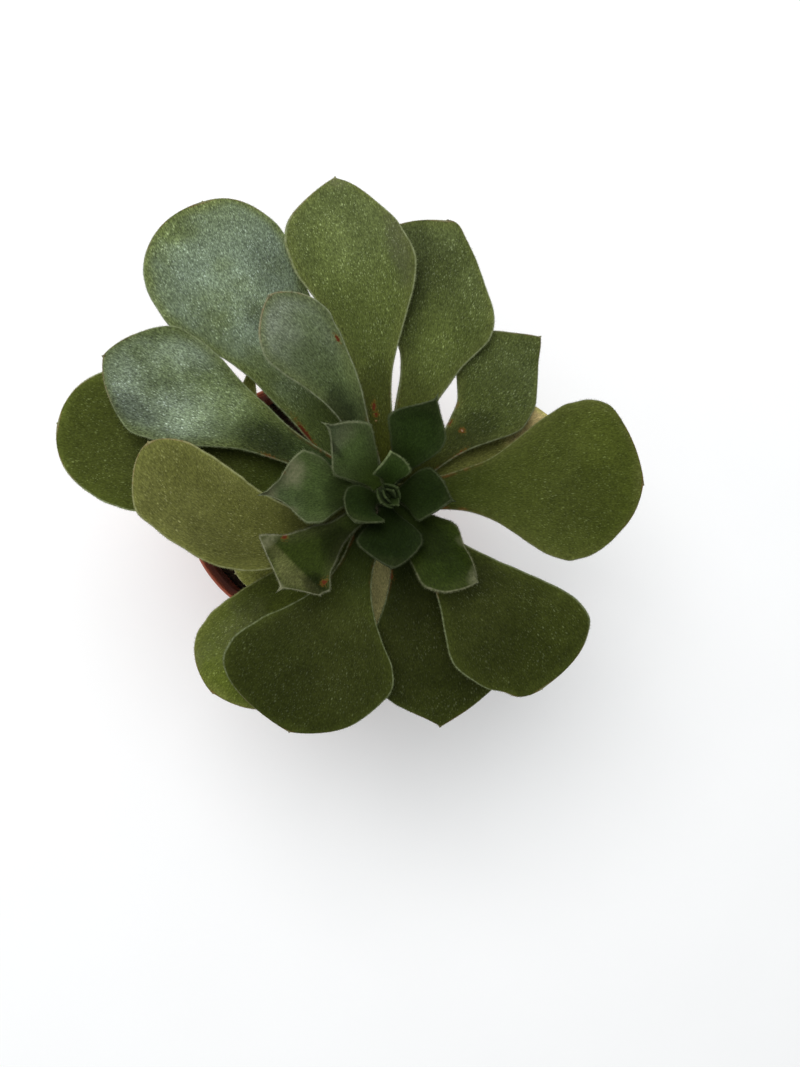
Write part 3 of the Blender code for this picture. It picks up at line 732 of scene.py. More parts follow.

# %% [markdown]
# The flesh of a leaf isn't one green.
#
# It is yellower along the margins and darker and redder towards the neck, partly its own colour and
# partly painted shade. Older leaves carry a bluish bloom over part of the blade, partly their own and
# partly a painted sheen. The group reads the two attributes that each leaf stores, the distance to the
# margin and the share of the length, and adds two sizes of mottling so that no two leaves look alike.

# %% Node group for a leaf's flesh
CORKY = (0.110, 0.036, 0.010, 1.0)


def make_flesh_group():
    """Colour, roughness and relief of the flesh of a leaf."""
    group, given, result = start_group(
        "leaf_flesh",
        {"Vector": "Vector", "Lines": "Vector", "Edge": "Float", "Share": "Float", "Blade": "Color",
         "Margin": "Color", "Neck": "Color", "Bloom And Sheen": "Color", "Bloom And Sheen At": "Float",
         "Bloom And Sheen Reach": "Float", "Bloom And Sheen Edge": "Float", "Bloom And Sheen Amount": "Float", "Cork": "Float",
         "Grain": "Float", "Drift": "Vector"},
        {"Color": "Color", "Roughness": "Float", "Height": "Float"})
    edge, share = given["Edge"], given["Share"]
    vector = vector_math(group, "ADD", given["Vector"], given["Drift"])
    clouds = grain(group, vector, 42.0, 3.0, 0.55)
    mottle = grain(group, vector, 240.0, 4.0, 0.6)
    fibres = grain(group, mapped(group, given["Lines"], (90.0, 30.0, 1.0)), 1.0, 4.0, 0.7)
    pores = grain(group, mapped(group, given["Lines"], (210.0, 95.0, 1.0)), 1.0, 2.0, 0.6)

    margin = times(group, ramp(group, edge, 0.0, 6.0, 1.0, 0.0), ramp(group, clouds, 0.25, 0.75, 0.35, 1.0))
    colour = blend_colours(group, margin, given["Blade"], given["Margin"])
    # The neck: darker towards the stem, partly the leaf's own colour and partly painted shade.
    neck = ramp(group, share, 0.08, 0.55, 1.0, 0.0)
    colour = blend_colours(group, neck, colour, given["Neck"])

    # Bloom and sheen: partly a bluish bloom of the leaf's own, partly a painted sheen of the sky.
    offset = reckon(group, "ABSOLUTE", reckon(group, "SUBTRACT", share, given["Bloom And Sheen At"]))
    closeness = reckon(group, "SUBTRACT", 1.0, reckon(group, "DIVIDE", offset, given["Bloom And Sheen Reach"]))
    bloom_and_sheen = times(group, ramp(group, closeness, 0.0, given["Bloom And Sheen Edge"]),
                  ramp(group, clouds, 0.3, 0.62, 0.25, 1.0), ramp(group, edge, 0.5, 5.0, 0.35, 1.0),
                  given["Bloom And Sheen Amount"], clamp=True)
    colour = blend_colours(group, bloom_and_sheen, colour, given["Bloom And Sheen"])

    neck_cork = times(group, ramp(group, share, 0.16, 0.40, 1.0, 0.0),
                      ramp(group, edge, 0.2, 1.8, 1.0, 0.0), ramp(group, mottle, 0.42, 0.62, 0.1, 0.9),
                      given["Cork"])
    tip_cork = times(group, ramp(group, share, 0.86, 0.97), ramp(group, edge, 0.3, 1.0, 1.0, 0.0),
                     ramp(group, mottle, 0.35, 0.55, 0.15, 0.75), given["Cork"])
    for cork in (neck_cork, tip_cork):
        colour = blend_colours(group, cork, colour, CORKY)

    streaks = times(group, ramp(group, fibres, 0.3, 0.7, -0.28, 0.22), given["Grain"])
    pitting = times(group, ramp(group, pores, 0.34, 0.66, -0.38, 0.36), given["Grain"])
    shade = times(group, ramp(group, mottle, 0.3, 0.7, 0.92, 1.07),
                  ramp(group, clouds, 0.25, 0.75, 0.91, 1.09),
                  plus(group, 1.0, streaks), plus(group, 1.0, pitting))
    group.links.new(vector_math(group, "MULTIPLY", colour, shade), result["Color"])
    group.links.new(ramp(group, mottle, 0.3, 0.7, 0.62, 0.48), result["Roughness"])
    height = plus(group, fibres, times(group, mottle, 0.6), times(group, pores, 0.7))
    group.links.new(height, result["Height"])
    return group


flesh_group = make_flesh_group()
print("group", flesh_group.name, "puts out", [item.name for item in flesh_group.interface.items_tree
                                              if item.in_out == "OUTPUT"])

# %% [markdown]
# Aeonium leaves are downy: short, sticky hairs show as fine pale specks, with painted glints of light.
#
# The longest of them become real geometry later. The rest are far thinner than a picture's pixel, so here
# a cell pattern scatters pale flecks of different strength over the flesh, partly the hairs' own pale
# colour and partly painted glints. It is laid out along the leaf's own lines, which fan out from the neck,
# so the flecks lie along the leaf, as the hairs do.

# %% Node group for down and painted glints
# Three layers of flecks and glints: how the pattern is turned, its cells in a decimetre, the faintest that
# shows
FLECKS = ((0.5, 92.0, 0.56), (2.2, 140.0, 0.24), (3.6, 190.0, 0.10))
FLECK_SHAPE = (1.0, 0.60, 1.0)


def make_fleck_and_glint_group():
    """A mask of short pale hairs lying on the surface, and of painted glints on them."""
    group, given, result = start_group(
        "leaf_flecks_and_glints",
        {"Vector": "Vector", "Lines": "Vector", "Edge": "Float", "Sparse": "Float", "Amount": "Float"},
        {"Mask": "Float"})
    masks = []
    for turn, cells, weakest in FLECKS:
        laid = mapped(group, given["Lines"], FLECK_SHAPE, (0.0, 0.0, turn))
        cell = add(group, "ShaderNodeTexVoronoi", {"Vector": laid, "Scale": cells})
        strength = add(group, "ShaderNodeSeparateColor", {0: cell.outputs["Color"]}).outputs[0]
        fleck = ramp(group, cell.outputs["Distance"], 0.12, 0.38, 1.0, 0.0)
        least = plus(group, weakest, times(group, given["Sparse"], 0.8 * (1.0 - weakest)))
        masks.append(times(group, fleck, ramp(group, strength, least, 1.0)))
    mask = reckon(group, "MAXIMUM", reckon(group, "MAXIMUM", masks[0], masks[1]), masks[2])
    patches = grain(group, given["Vector"], 70.0, 3.0, 0.6)
    mask = times(group, mask, ramp(group, patches, 0.32, 0.62, 0.35, 1.0),
                 ramp(group, given["Edge"], 1.0, 7.0, 0.55, 1.0), given["Amount"], clamp=True)
    group.links.new(mask, result["Mask"])
    return group


fleck_and_glint_group = make_fleck_and_glint_group()
print("group", fleck_and_glint_group.name, "is ready")

# %% [markdown]
# Small wounds make a plant believable.
#
# Where a leaf was nicked it has healed as a rusty, corky spot. One group draws such a spot round a place
# on the flat map, with an edge that noise makes ragged, and it can be placed as often as a leaf needs.

# %% Node group for a healed spot
def oval_distance(group, given, reach):
    """How far a place on the flat map is from a given one, measured by the reach of an oval."""
    offset = vector_math(group, "SUBTRACT", given["Flat"], given["Place"])
    return vector_math(group, "LENGTH", vector_math(group, "DIVIDE", offset, reach), output="Value")


def make_spot_group():
    """A ragged spot round a place on the flat map: its core and its wider halo."""
    group, given, result = start_group(
        "healed_spot", {"Flat": "Vector", "Place": "Vector", "Size": "Float", "Length": "Float"},
        {"Core": "Float", "Halo": "Float"})
    longer = add(group, "ShaderNodeCombineXYZ", {"X": 1.0, "Y": given["Length"], "Z": 1.0}).outputs[0]
    tatters = ramp(group, grain(group, given["Flat"], 110.0, 4.0, 0.7), 0.3, 0.7, 0.5, 1.6)
    ragged = times(group, oval_distance(group, given, longer), tatters)
    ratio = reckon(group, "DIVIDE", ragged, given["Size"])
    group.links.new(ramp(group, ratio, 0.7, 1.0, 1.0, 0.0), result["Core"])
    group.links.new(ramp(group, ratio, 0.9, 1.9, 1.0, 0.0), result["Halo"])
    return group


spot_group = make_spot_group()
print("group", spot_group.name, "is ready")

# %% [markdown]
# No leaf is evenly lit or evenly coloured from neck to tip.
#
# One part catches more light and is painted paler, another lies in a neighbour's shadow and is
# painted darker, and the youngest leaves keep grey wool in places. A soft oval on the flat map, with a
# slightly uneven edge, can paint light or shade on the flesh or cover it with wool at any place, and it
# costs only a few nodes each time.

# %% Node group for a soft patch
def make_patch_group():
    """A soft oval round a place on the flat map, for painted light or shade on the flesh, or for wool."""
    group, given, result = start_group(
        "soft_patch", {"Flat": "Vector", "Place": "Vector", "Reach": "Vector"}, {"Mask": "Float"})
    uneven = ramp(group, grain(group, given["Flat"], 14.0, 2.0, 0.5), 0.3, 0.7, 0.82, 1.18)
    distance = times(group, oval_distance(group, given, given["Reach"]), uneven)
    group.links.new(ramp(group, distance, 0.25, 1.25, 1.0, 0.0), result["Mask"])
    return group


patch_group = make_patch_group()
print("group", patch_group.name, "is ready")

# %% [markdown]
# Each leaf gets its own material from the same groups, so that it can have its own age.
#
# A finish is a set of colours for one kind of leaf: fresh, bloomed, olive, deep, or the dark ones of the
# heart. The deep and heart finishes are darker partly for painted shade, and the bloom of the bloomed,
# shaded and slate finishes is partly a painted sheen. A leaf's tone makes it a little lighter or darker
# than its kind, partly its own colour and partly painted light and shade.

# %% Finishes of the leaves
@dataclass
class Finish:
    """The colours of one kind of leaf.

    The colours, in thousandths, are those of the blade, the zone along the margin, the neck, the bloom
    and the wool on the margin. The neck's colour is partly the leaf's own and partly painted shade, and
    the bloom is partly a bluish bloom of its own and partly a painted sheen. It lies round a share of the
    length and reaches some way from there, and a small value for its edge ends it sharply. The down value
    is how strong the flecks are, which are partly pale hairs and partly painted glints, and a larger sparse
    leaves fewer of them. grain is the contrast of the fine grain, and rim is how wide the woolly margin
    is, in mm.
    """
    blade: tuple
    margin: tuple
    neck: tuple
    bloom_and_sheen: tuple
    wool: tuple
    bloom_and_sheen_at: float = 0.7
    bloom_and_sheen_reach: float = 0.4
    bloom_and_sheen_edge: float = 0.8
    bloom_and_sheen_amount: float = 0.5
    down_and_glints: float = 0.8
    rim: float = 0.7
    rim_amount: float = 0.7
    grain: float = 0.65
    sparse: float = 0.40


FINISHES = {
    "fresh": Finish(blade=(73, 93, 22), margin=(108, 128, 33), neck=(43, 50, 6), bloom_and_sheen=(100, 124, 46),
                    wool=(250, 275, 150), bloom_and_sheen_at=0.95, down_and_glints=1.2, rim=0.9, rim_amount=0.85, grain=0.8,
                    sparse=0.2),
    "warm": Finish(blade=(68, 86, 12), margin=(101, 115, 25), neck=(34, 47, 6), bloom_and_sheen=(72, 86, 18),
                   wool=(225, 235, 100), bloom_and_sheen_at=0.6, down_and_glints=0.85, grain=0.6, sparse=0.5),
    "bloomed_and_sheened": Finish(blade=(84, 109, 30), margin=(117, 142, 34), neck=(50, 70, 18),
                      bloom_and_sheen=(142, 184, 124), wool=(234, 279, 153), bloom_and_sheen_reach=0.45, bloom_and_sheen_amount=0.95,
                      down_and_glints=1.1, grain=1, sparse=0),
    "shaded": Finish(blade=(67, 90, 28), margin=(94, 115, 34), neck=(18, 32, 8), bloom_and_sheen=(146, 184, 124),
                     wool=(216, 252, 135), bloom_and_sheen_at=0.82, bloom_and_sheen_reach=0.4, bloom_and_sheen_amount=1, down_and_glints=1.1,
                     grain=1, sparse=0),
    "slate": Finish(blade=(68, 92, 34), margin=(104, 125, 44), neck=(11, 20, 4), bloom_and_sheen=(166, 194, 136),
                    wool=(252, 279, 171), bloom_and_sheen_at=1, bloom_and_sheen_reach=0.5, bloom_and_sheen_amount=0.9, down_and_glints=0.5,
                    grain=0.8, sparse=0.2),
    "olive": Finish(blade=(85, 90, 20), margin=(122, 128, 32), neck=(68, 72, 16), bloom_and_sheen=(101, 104, 32),
                    wool=(260, 270, 130), down_and_glints=0.7, rim=0.9, rim_amount=0.8),
    "tan": Finish(blade=(80, 84, 20), margin=(110, 105, 32), neck=(68, 76, 16), bloom_and_sheen=(125, 98, 44),
                  wool=(260, 240, 110), bloom_and_sheen_at=1, bloom_and_sheen_reach=0.4, bloom_and_sheen_edge=0.5, bloom_and_sheen_amount=1.2,
                  down_and_glints=0.5),
    # Painted shade: the low leaves of the deep finish are partly darkened for the shade that falls on them.
    "deep_and_shaded": Finish(blade=(27, 34, 5), margin=(49, 61, 10), neck=(15, 23, 3), bloom_and_sheen=(35, 41, 9),
                   wool=(180, 205, 105), bloom_and_sheen_at=0.6, down_and_glints=0.95, rim=0.8, rim_amount=0.85, grain=0.6,
                   sparse=0.4),
    # Painted shade: the heart finishes are partly darkened for the shade among the young leaves.
    "heart": Finish(blade=(12, 22, 4), margin=(20, 32, 8), neck=(8, 15, 2), bloom_and_sheen=(54, 59, 20),
                    wool=(77, 90, 45), bloom_and_sheen_at=1.05, bloom_and_sheen_reach=0.25, down_and_glints=0.2, rim=0.9,
                    rim_amount=0.8),
    "bud": Finish(blade=(14, 25, 5), margin=(20, 32, 8), neck=(8, 15, 2), bloom_and_sheen=(40, 48, 16),
                  wool=(60, 75, 34), bloom_and_sheen_at=1.05, bloom_and_sheen_reach=0.25, down_and_glints=0.2, rim=0.5,
                  rim_amount=0.5),
    "heart_pale": Finish(blade=(52, 78, 22), margin=(70, 92, 34), neck=(31, 50, 8),
                         bloom_and_sheen=(150, 176, 110), wool=(216, 234, 135), bloom_and_sheen_at=1.02, bloom_and_sheen_reach=0.45,
                         bloom_and_sheen_amount=0.85, down_and_glints=0.2, rim=0.9, rim_amount=0.8),
    "heart_rimmed": Finish(blade=(17, 28, 3), margin=(26, 37, 6), neck=(10, 17, 2), bloom_and_sheen=(54, 59, 20),
                           wool=(200, 200, 120), bloom_and_sheen_at=1.05, bloom_and_sheen_reach=0.25, down_and_glints=0.2, rim=0.8,
                           rim_amount=0.6),
    "heart_folded": Finish(blade=(23, 34, 5), margin=(45, 54, 16), neck=(16, 25, 4), bloom_and_sheen=(81, 87, 29),
                           wool=(300, 300, 200), bloom_and_sheen_at=1, bloom_and_sheen_reach=0.25, bloom_and_sheen_edge=0.15,
                           bloom_and_sheen_amount=1, down_and_glints=0.3, rim=0.9, rim_amount=0.5),
    # Painted light: a pale petiole, made brighter than it can be, to light a leaf that lies in shade.
    "petiole_and_painted_light": Finish(blade=(306, 279, 117), margin=(324, 297, 135), neck=(270, 243, 99),
                      bloom_and_sheen=(306, 279, 117), wool=(378, 360, 198), down_and_glints=0.3),
}

WOOLLY = ("heart", "heart_pale", "heart_rimmed", "heart_folded", "bud")
DARK_DOWN_FINISHES = ("deep_and_shaded", "heart", "heart_rimmed", "heart_folded", "bud")
print("finishes:", ", ".join(FINISHES))

# %% [markdown]
# Every leaf carries marks: wounds and wool of its own life, and painted light and shade.
#
# The marks could come from noise, but then they would sit where nobody ever saw them. They are few, so
# each one is listed with its place on the leaf's flat map: small rusty wounds, places painted paler or
# darker for light and shade, and places that grey wool still covers.

# %% Spots and patches of the leaves
RUST = (0.085, 0.020, 0.007, 1.0)
SCAB = (0.230, 0.150, 0.085, 1.0)

# A leaf's spots: distance to the left of the midrib and from the foot, size (all mm), length, colour
SPOTS = {
    "leaf_outer_04": ((1.8, 25.9, 0.7, 2.4, RUST), (1.1, 23.2, 0.7, 1, RUST), (1.4, 21, 0.35, 1, SCAB)),
    "leaf_outer_02": ((9.3, 36.9, 0.8, 1.8, RUST), (6.4, 30.6, 0.8, 1.8, RUST), (0.9, 32.2, 0.9, 1, RUST),
                      (0.9, 32.2, 0.45, 1, SCAB), (-4.9, 24.5, 0.6, 5, RUST)),
    "leaf_outer_11": ((-6.7, 20.8, 0.7, 2.6, RUST),),
    "leaf_outer_06": ((6.4, 34.5, 0.6, 5, RUST),),
    "leaf_outer_05": ((6.6, 28, 0.7, 7, RUST),),
    "leaf_outer_12": ((-11.1, 32.1, 0.6, 1.4, RUST), (-11.9, 33.9, 0.5, 1, SCAB)),
    "leaf_middle": ((-8.8, 53.5, 0.5, 3, RUST),),
    "leaf_heart_04": ((-6.6, 37.2, 0.5, 1.6, RUST),),
    "leaf_heart_05": ((-11.1, 32.8, 0.8, 1.3, RUST), (9.4, 34.2, 0.8, 1.6, RUST)),
}

# A leaf's patches of painted light and shade: distance to the left of the midrib and from the foot, half
# width and half length (all mm), and how much lighter or darker the flesh is painted there
PATCHES = {
    "leaf_outer_01": ((19, 72, 14, 12, 1.22), (-6, 66, 16, 18, 0.86)),
    "leaf_outer_02": ((9.3, 66, 12, 9, 1.14), (-3.5, 34, 9, 15, 0.62)),
    "leaf_outer_03": ((12, 78, 9, 24, 0.66), (3, 79, 10, 15, 0.8), (-1.7, 49.3, 9, 14, 1.26),
                      (10, 58, 6, 20, 0.75)),
    "leaf_outer_04": ((8, 84, 9, 18, 1.28), (-15.5, 76, 6, 16, 0.62), (0, 28, 8, 20, 0.78)),
    "leaf_outer_05": ((3.4, 84, 14, 15, 1.22), (-0.5, 71, 4.5, 9, 0.68), (16, 106, 6, 8, 1.3),
                      (-12, 88, 8, 16, 0.78)),
    "leaf_outer_06": ((-8.5, 81, 8, 10, 1.25), (-3.5, 59.5, 10, 15, 1.5), (7.5, 66, 6.5, 9, 1.45),
                      (12.5, 86, 6.5, 11, 0.55), (1.9, 40, 8, 13, 0.43)),
    "leaf_outer_07": ((18.4, 85.8, 8, 12, 1.15),),
    "leaf_outer_08": ((4.3, 85, 9, 9, 1.08), (7.5, 54, 8, 16, 0.84)),
    "leaf_outer_09": ((-5.5, 82, 10, 12, 1.24), (-10.9, 50, 10, 14, 0.58)),
    "leaf_outer_10": ((-3.9, 69.5, 13, 14, 0.84), (0, 37.3, 12, 13, 1.24)),
    "leaf_outer_11": ((-2, 74, 12, 9, 1.2), (-5.4, 34.8, 9, 14, 0.82)),
    "leaf_outer_12": ((17.9, 68.6, 9, 14, 1.25), (-5, 62, 13, 14, 0.82), (4.9, 36, 10, 13, 0.72)),
    "leaf_under_01": ((0, 64, 16, 10, 1.7), (0, 30, 16, 20, 0.5)),
    "leaf_middle": ((-4, 63, 6, 8, 1.15), (-6, 42, 4, 9, 1.25), (3, 31, 6.5, 13, 0.5)),
    "leaf_heart_02": ((1.3, 24.6, 8, 9, 1.25),),
    "leaf_heart_03": ((3.5, 30, 1.6, 9, 0.45), (-2, 22, 6, 8, 1.3)),
    "leaf_heart_04": ((1.8, 14, 9, 9, 0.55), (2.5, 27.5, 4, 6, 0.78)),
    "leaf_heart_05": ((2.7, 20, 8, 9, 0.42), (7.5, 38, 5.5, 6, 0.4), (-13, 41, 4, 6, 0.8),
                      (-5, 41, 4, 7, 1.3)),
    "leaf_heart_07": ((0, 20, 8, 10, 0.6), (0, 31, 6, 6, 0.85)),
}

# Patches of grey wool: the same places and sizes, and how much of the flesh the wool hides
WOOL_PATCHES = {
    "leaf_outer_04": ((0, 109, 5, 7, 0.55), (-15, 82, 5, 20, 0.25)),
    "leaf_outer_09": ((-9, 66, 9, 16, 0.22), (-14, 84, 6, 9, 0.18)),
    "leaf_heart_03": ((-2, 28.5, 5.5, 5, 0.3),),
    "leaf_heart_04": ((-6.5, 33.5, 5.5, 7, 0.95), (-0.5, 43.5, 3.5, 4, 0.95), (6, 37, 1.6, 6, 0.6)),
    "leaf_heart_05": ((-14, 40, 2, 9, 0.75), (-2, 48, 11, 1.8, 0.8)),
    "leaf_heart_07": ((7.4, 34.5, 1.9, 8.5, 0.8), (3, 41, 5, 3.8, 0.95)),
}
print("leaves with spots:", len(SPOTS), "with patches:", len(PATCHES), "with wool:", len(WOOL_PATCHES))

# %% [markdown]
# The skin lays all of this over the flesh, in the order in which it lies on the real leaf.
#
# First come the patches of painted light and shade and the wool, then the spots, then the flecks of down
# with their painted glints, and last the pale line of wool along the margin. Each layer is one blend of
# colours, which is easy to read and to leave out.

# %% Skin of a leaf
HALO = (0.150, 0.085, 0.012, 1.0)
HALO_AMOUNT = 0.42
WOOL_GREY = (0.155, 0.158, 0.086, 1.0)
# Painted glints: a fleck is the flesh's colour made brighter, partly pale hair and partly light it catches.
FLECK_GAIN = Vector((2.5, 2.4, 2.8))
SPARSE_FLECK_GAIN = Vector((3.3, 3.3, 4.2))
FLECK_GREY = (0.019, 0.019, 0.027)
MM_IN_DECIMETRE = 100.0


def scaled_colour(colour, tone):
    """A colour given in thousandths, made lighter or darker, with full opacity."""
    return (*[min(1.0, channel / 1000 * tone) for channel in colour], 1.0)


def on_map(side, along, depth=0.0):
    """Two measures in mm as they are on the flat map, which is in decimetres."""
    return side / MM_IN_DECIMETRE, along / MM_IN_DECIMETRE, depth


def patch_mask(tree, flat, side, along, half_width, half_length):
    """The mask of one soft patch, from its place and size in mm."""
    return place_group(tree, patch_group, {"Flat": flat, "Place": on_map(side, along),
                                           "Reach": on_map(half_width, half_length, 1.0)})["Mask"]


def fanned_lines(tree, flat, share):
    """The flat map drawn together towards the neck, so that its lines fan out like a leaf's veins."""
    parts = add(tree, "ShaderNodeSeparateXYZ", {0: flat})
    spread = ramp(tree, share, 0.0, 1.0, 0.38, 1.0)
    side = reckon(tree, "DIVIDE", parts.outputs["X"], spread)
    return add(tree, "ShaderNodeCombineXYZ", {"X": side, "Y": parts.outputs["Y"]}).outputs[0]


def leaf_material(name, leaf, drift):
    """The skin of one leaf: flesh, bloom and painted sheen, painted light and shade, wool, spots,
    a pale downy margin and flecks of down with painted glints.
    """
    finish = FINISHES[leaf.finish]
    woolly = leaf.finish in WOOLLY
    material, tree, shader, place = start_material(
        name + "_skin", 0.55, Sheen_Weight=0.02, Sheen_Roughness=0.5,
        Sheen_Tint=(0.70, 0.85, 0.50, 1.0), Specular_IOR_Level=0.03)
    flat = add(tree, "ShaderNodeUVMap", uv_map="flat").outputs["UV"]
    edge = attribute(tree, "edge_mm")
    share = attribute(tree, "share")
    lines = fanned_lines(tree, flat, share)
    flesh = place_group(tree, flesh_group, {
        "Vector": place, "Lines": lines, "Edge": edge, "Share": share, "Drift": drift,
        "Blade": scaled_colour(finish.blade, leaf.tone), "Margin": scaled_colour(finish.margin, leaf.tone),
        "Neck": scaled_colour(finish.neck, leaf.tone), "Bloom And Sheen": scaled_colour(finish.bloom_and_sheen, leaf.tone),
        "Bloom And Sheen At": finish.bloom_and_sheen_at, "Bloom And Sheen Reach": finish.bloom_and_sheen_reach,
        "Bloom And Sheen Edge": finish.bloom_and_sheen_edge, "Bloom And Sheen Amount": finish.bloom_and_sheen_amount,
        "Cork": 0.0 if woolly else 1.0, "Grain": finish.grain})
    colour = flesh["Color"]
    # Painted light and shade: each patch makes the flesh lighter where light falls and darker in shade.
    for *oval, lightness in PATCHES.get(name, ()):
        gain = ramp(tree, patch_mask(tree, flat, *oval), 0.0, 1.0, 1.0, lightness)
        colour = vector_math(tree, "MULTIPLY", colour, gain)
    for *oval, cover in WOOL_PATCHES.get(name, ()):
        strands = ramp(tree, grain(tree, place, 900.0, 3.0, 0.7), 0.35, 0.65, 0.55, 1.0)
        hidden = times(tree, patch_mask(tree, flat, *oval), cover, strands)
        colour = blend_colours(tree, hidden, colour, WOOL_GREY)
    for side, along, size, longer, spot_colour in SPOTS.get(name, ()):
        spot = place_group(tree, spot_group, {"Flat": flat, "Place": on_map(side, along),
                                              "Size": size / MM_IN_DECIMETRE, "Length": longer})
        colour = blend_colours(tree, times(tree, spot["Halo"], HALO_AMOUNT), colour, HALO)
        colour = blend_colours(tree, spot["Core"], colour, spot_colour)
    # Flecks of down with painted glints: the flesh is brightened in small specks.
    down_and_glints = place_group(tree, fleck_and_glint_group, {"Vector": place, "Lines": lines, "Edge": edge,
                                          "Sparse": finish.sparse, "Amount": finish.down_and_glints})
    gain = FLECK_GAIN.lerp(SPARSE_FLECK_GAIN, finish.sparse)
    fleck = vector_math(tree, "MULTIPLY_ADD", colour, gain, FLECK_GREY)
    colour = blend_colours(tree, down_and_glints["Mask"], colour, fleck)
    breaks = ramp(tree, grain(tree, place, 800.0, 3.0, 0.7), 0.35, 0.65, 0.35, 1.0)
    rim = ramp(tree, edge, 0.3 * finish.rim, finish.rim, finish.rim_amount, 0.0)
    if woolly:
        rim = times(tree, rim, ramp(tree, share, 0.35, 0.85, 0.35, 1.0))
    wool = times(tree, rim, breaks)
    colour = blend_colours(tree, wool, colour, scaled_colour(finish.wool, leaf.tone))
    height = plus(tree, flesh["Height"], times(tree, down_and_glints["Mask"], 0.8))
    link_surface(tree, shader, colour, flesh["Roughness"], height, depth=0.35)
    return material


def hair_material(name, dull, bright):
    """The pale, slightly glassy hairs of the down."""
    material, tree, shader, place = start_material(name, 0.5, Specular_IOR_Level=0.2)
    link_surface(tree, shader, blend_colours(tree, grain(tree, place, 300.0, 2.0), dull, bright))
    return material


pale_down = hair_material("pale_down", (0.120, 0.145, 0.060, 1.0), (0.280, 0.310, 0.170, 1.0))
dark_down = hair_material("dark_down", (0.040, 0.055, 0.018, 1.0), (0.120, 0.140, 0.065, 1.0))
print("kinds of down:", pale_down.name, dark_down.name)

# %% [markdown]
# The down along a leaf's margin reads as a thin, pale, broken line.
#
# Placing hundreds of hairs by hand would be dull, and they must follow each outline exactly. A Geometry
# Nodes tree does it: it turns the leaf's margin edges into a curve, spaces points along it, and stands a
# tiny three-sided spike on each, leaning outwards. A second branch scatters shorter hairs over the faces.
# The tree ends in real triangles, so the hairs stay when the model leaves this file.

# %% Helpers for Geometry Nodes trees
def start_tree(name, inputs, output):
    """An empty Geometry Nodes tree with named inputs (name: kind and usual value)."""
    tree = bpy.data.node_groups.new(name, "GeometryNodeTree")
    for label, (kind, value) in inputs.items():
        socket = tree.interface.new_socket(label, in_out="INPUT", socket_type="NodeSocket" + kind)
        if value is not None:
            socket.default_value = value
    tree.interface.new_socket(output, in_out="OUTPUT", socket_type="NodeSocketGeometry")
    return tree, tree.nodes.new("NodeGroupInput").outputs


def end_tree(tree, instances, material):
    """Turns instances into a real mesh, gives it a material and puts it out."""
    real = add(tree, "GeometryNodeRealizeInstances", {0: instances})
    painted = add(tree, "GeometryNodeSetMaterial", {"Geometry": real.outputs[0], "Material": material})
    result = tree.nodes.new("NodeGroupOutput")
    tree.links.new(painted.outputs[0], result.inputs[0])
    return tree


def random_vector(tree, seed, spread):
    """A random vector with each part between -spread and spread."""
    low, high = (-spread, -spread, -spread), (spread, spread, spread)
    return add(tree, "FunctionNodeRandomValue", {0: low, 1: high, "Seed": seed},
               data_type="FLOAT_VECTOR").outputs[0]


def random_number(tree, seed, low, high):
    """A random number between low and high."""
    return add(tree, "FunctionNodeRandomValue", {2: low, 3: high, "Seed": seed},
               data_type="FLOAT").outputs[1]


print("helpers for Geometry Nodes are ready")


# %% Geometry Nodes tree for hairs
ON_MARGIN = 0.99
FRINGE_LEAN = 0.8
FRINGE_SIZES = (0.5, 1.2)
COVER_LEAN = 1.6
COVER_SIZES = (0.45, 1.0)


def stand_hairs(tree, points, spike, direction, seed, lean, sizes):
    """Stands a spike on each point along a direction, with a random lean and size."""
    leaning = vector_math(tree, "ADD", direction, random_vector(tree, seed, lean))
    aligned = add(tree, "FunctionNodeAlignRotationToVector", {"Vector": leaning}, axis="Z")
    size = random_number(tree, seed, *sizes)
    return add(tree, "GeometryNodeInstanceOnPoints", {"Points": points, "Instance": spike,
                                                      "Rotation": aligned.outputs[0], "Scale": size})


def make_hair_tree():
    """Hairs along the margin and over the faces of a leaf."""
    tree, given = start_tree(
        "leaf_hairs",
        {"Leaf": ("Geometry", None), "Spacing": ("Float", 0.30 * MM),
         "Hairs per Area": ("Float", 100000.0), "Length": ("Float", 0.6 * MM),
         "Thickness": ("Float", 0.05 * MM), "Seed": ("Int", 1), "Material": ("Material", None)}, "Hairs")
    spike = add(tree, "GeometryNodeMeshCone", {"Vertices": 3, "Radius Top": 0.0,
                                               "Radius Bottom": given["Thickness"],
                                               "Depth": given["Length"]}).outputs["Mesh"]
    margin = add(tree, "GeometryNodeInputNamedAttribute", {"Name": "margin"}, data_type="FLOAT").outputs[0]
    on_margin = add(tree, "FunctionNodeCompare", {0: margin, 1: ON_MARGIN}, data_type="FLOAT",
                    operation="GREATER_THAN").outputs[0]
    rim = add(tree, "GeometryNodeMeshToCurve", {"Mesh": given["Leaf"], "Selection": on_margin})
    spaced = add(tree, "GeometryNodeResampleCurve", {"Curve": rim.outputs[0], "Length": given["Spacing"]},
                 mode="LENGTH")
    outwards = add(tree, "GeometryNodeInputNamedAttribute", {"Name": "outwards"}, data_type="FLOAT_VECTOR")
    fringe = stand_hairs(tree, spaced.outputs[0], spike, outwards.outputs[0], given["Seed"],
                         FRINGE_LEAN, FRINGE_SIZES)
    scattered = add(tree, "GeometryNodeDistributePointsOnFaces",
                    {"Mesh": given["Leaf"], "Density": given["Hairs per Area"], "Seed": given["Seed"]})
    cover = stand_hairs(tree, scattered.outputs["Points"], spike, scattered.outputs["Normal"],
                        given["Seed"], COVER_LEAN, COVER_SIZES)
    joined = tree.nodes.new("GeometryNodeJoinGeometry")
    for hairs in (fringe, cover):
        tree.links.new(hairs.outputs[0], joined.inputs[0])
    return end_tree(tree, joined.outputs[0], given["Material"])


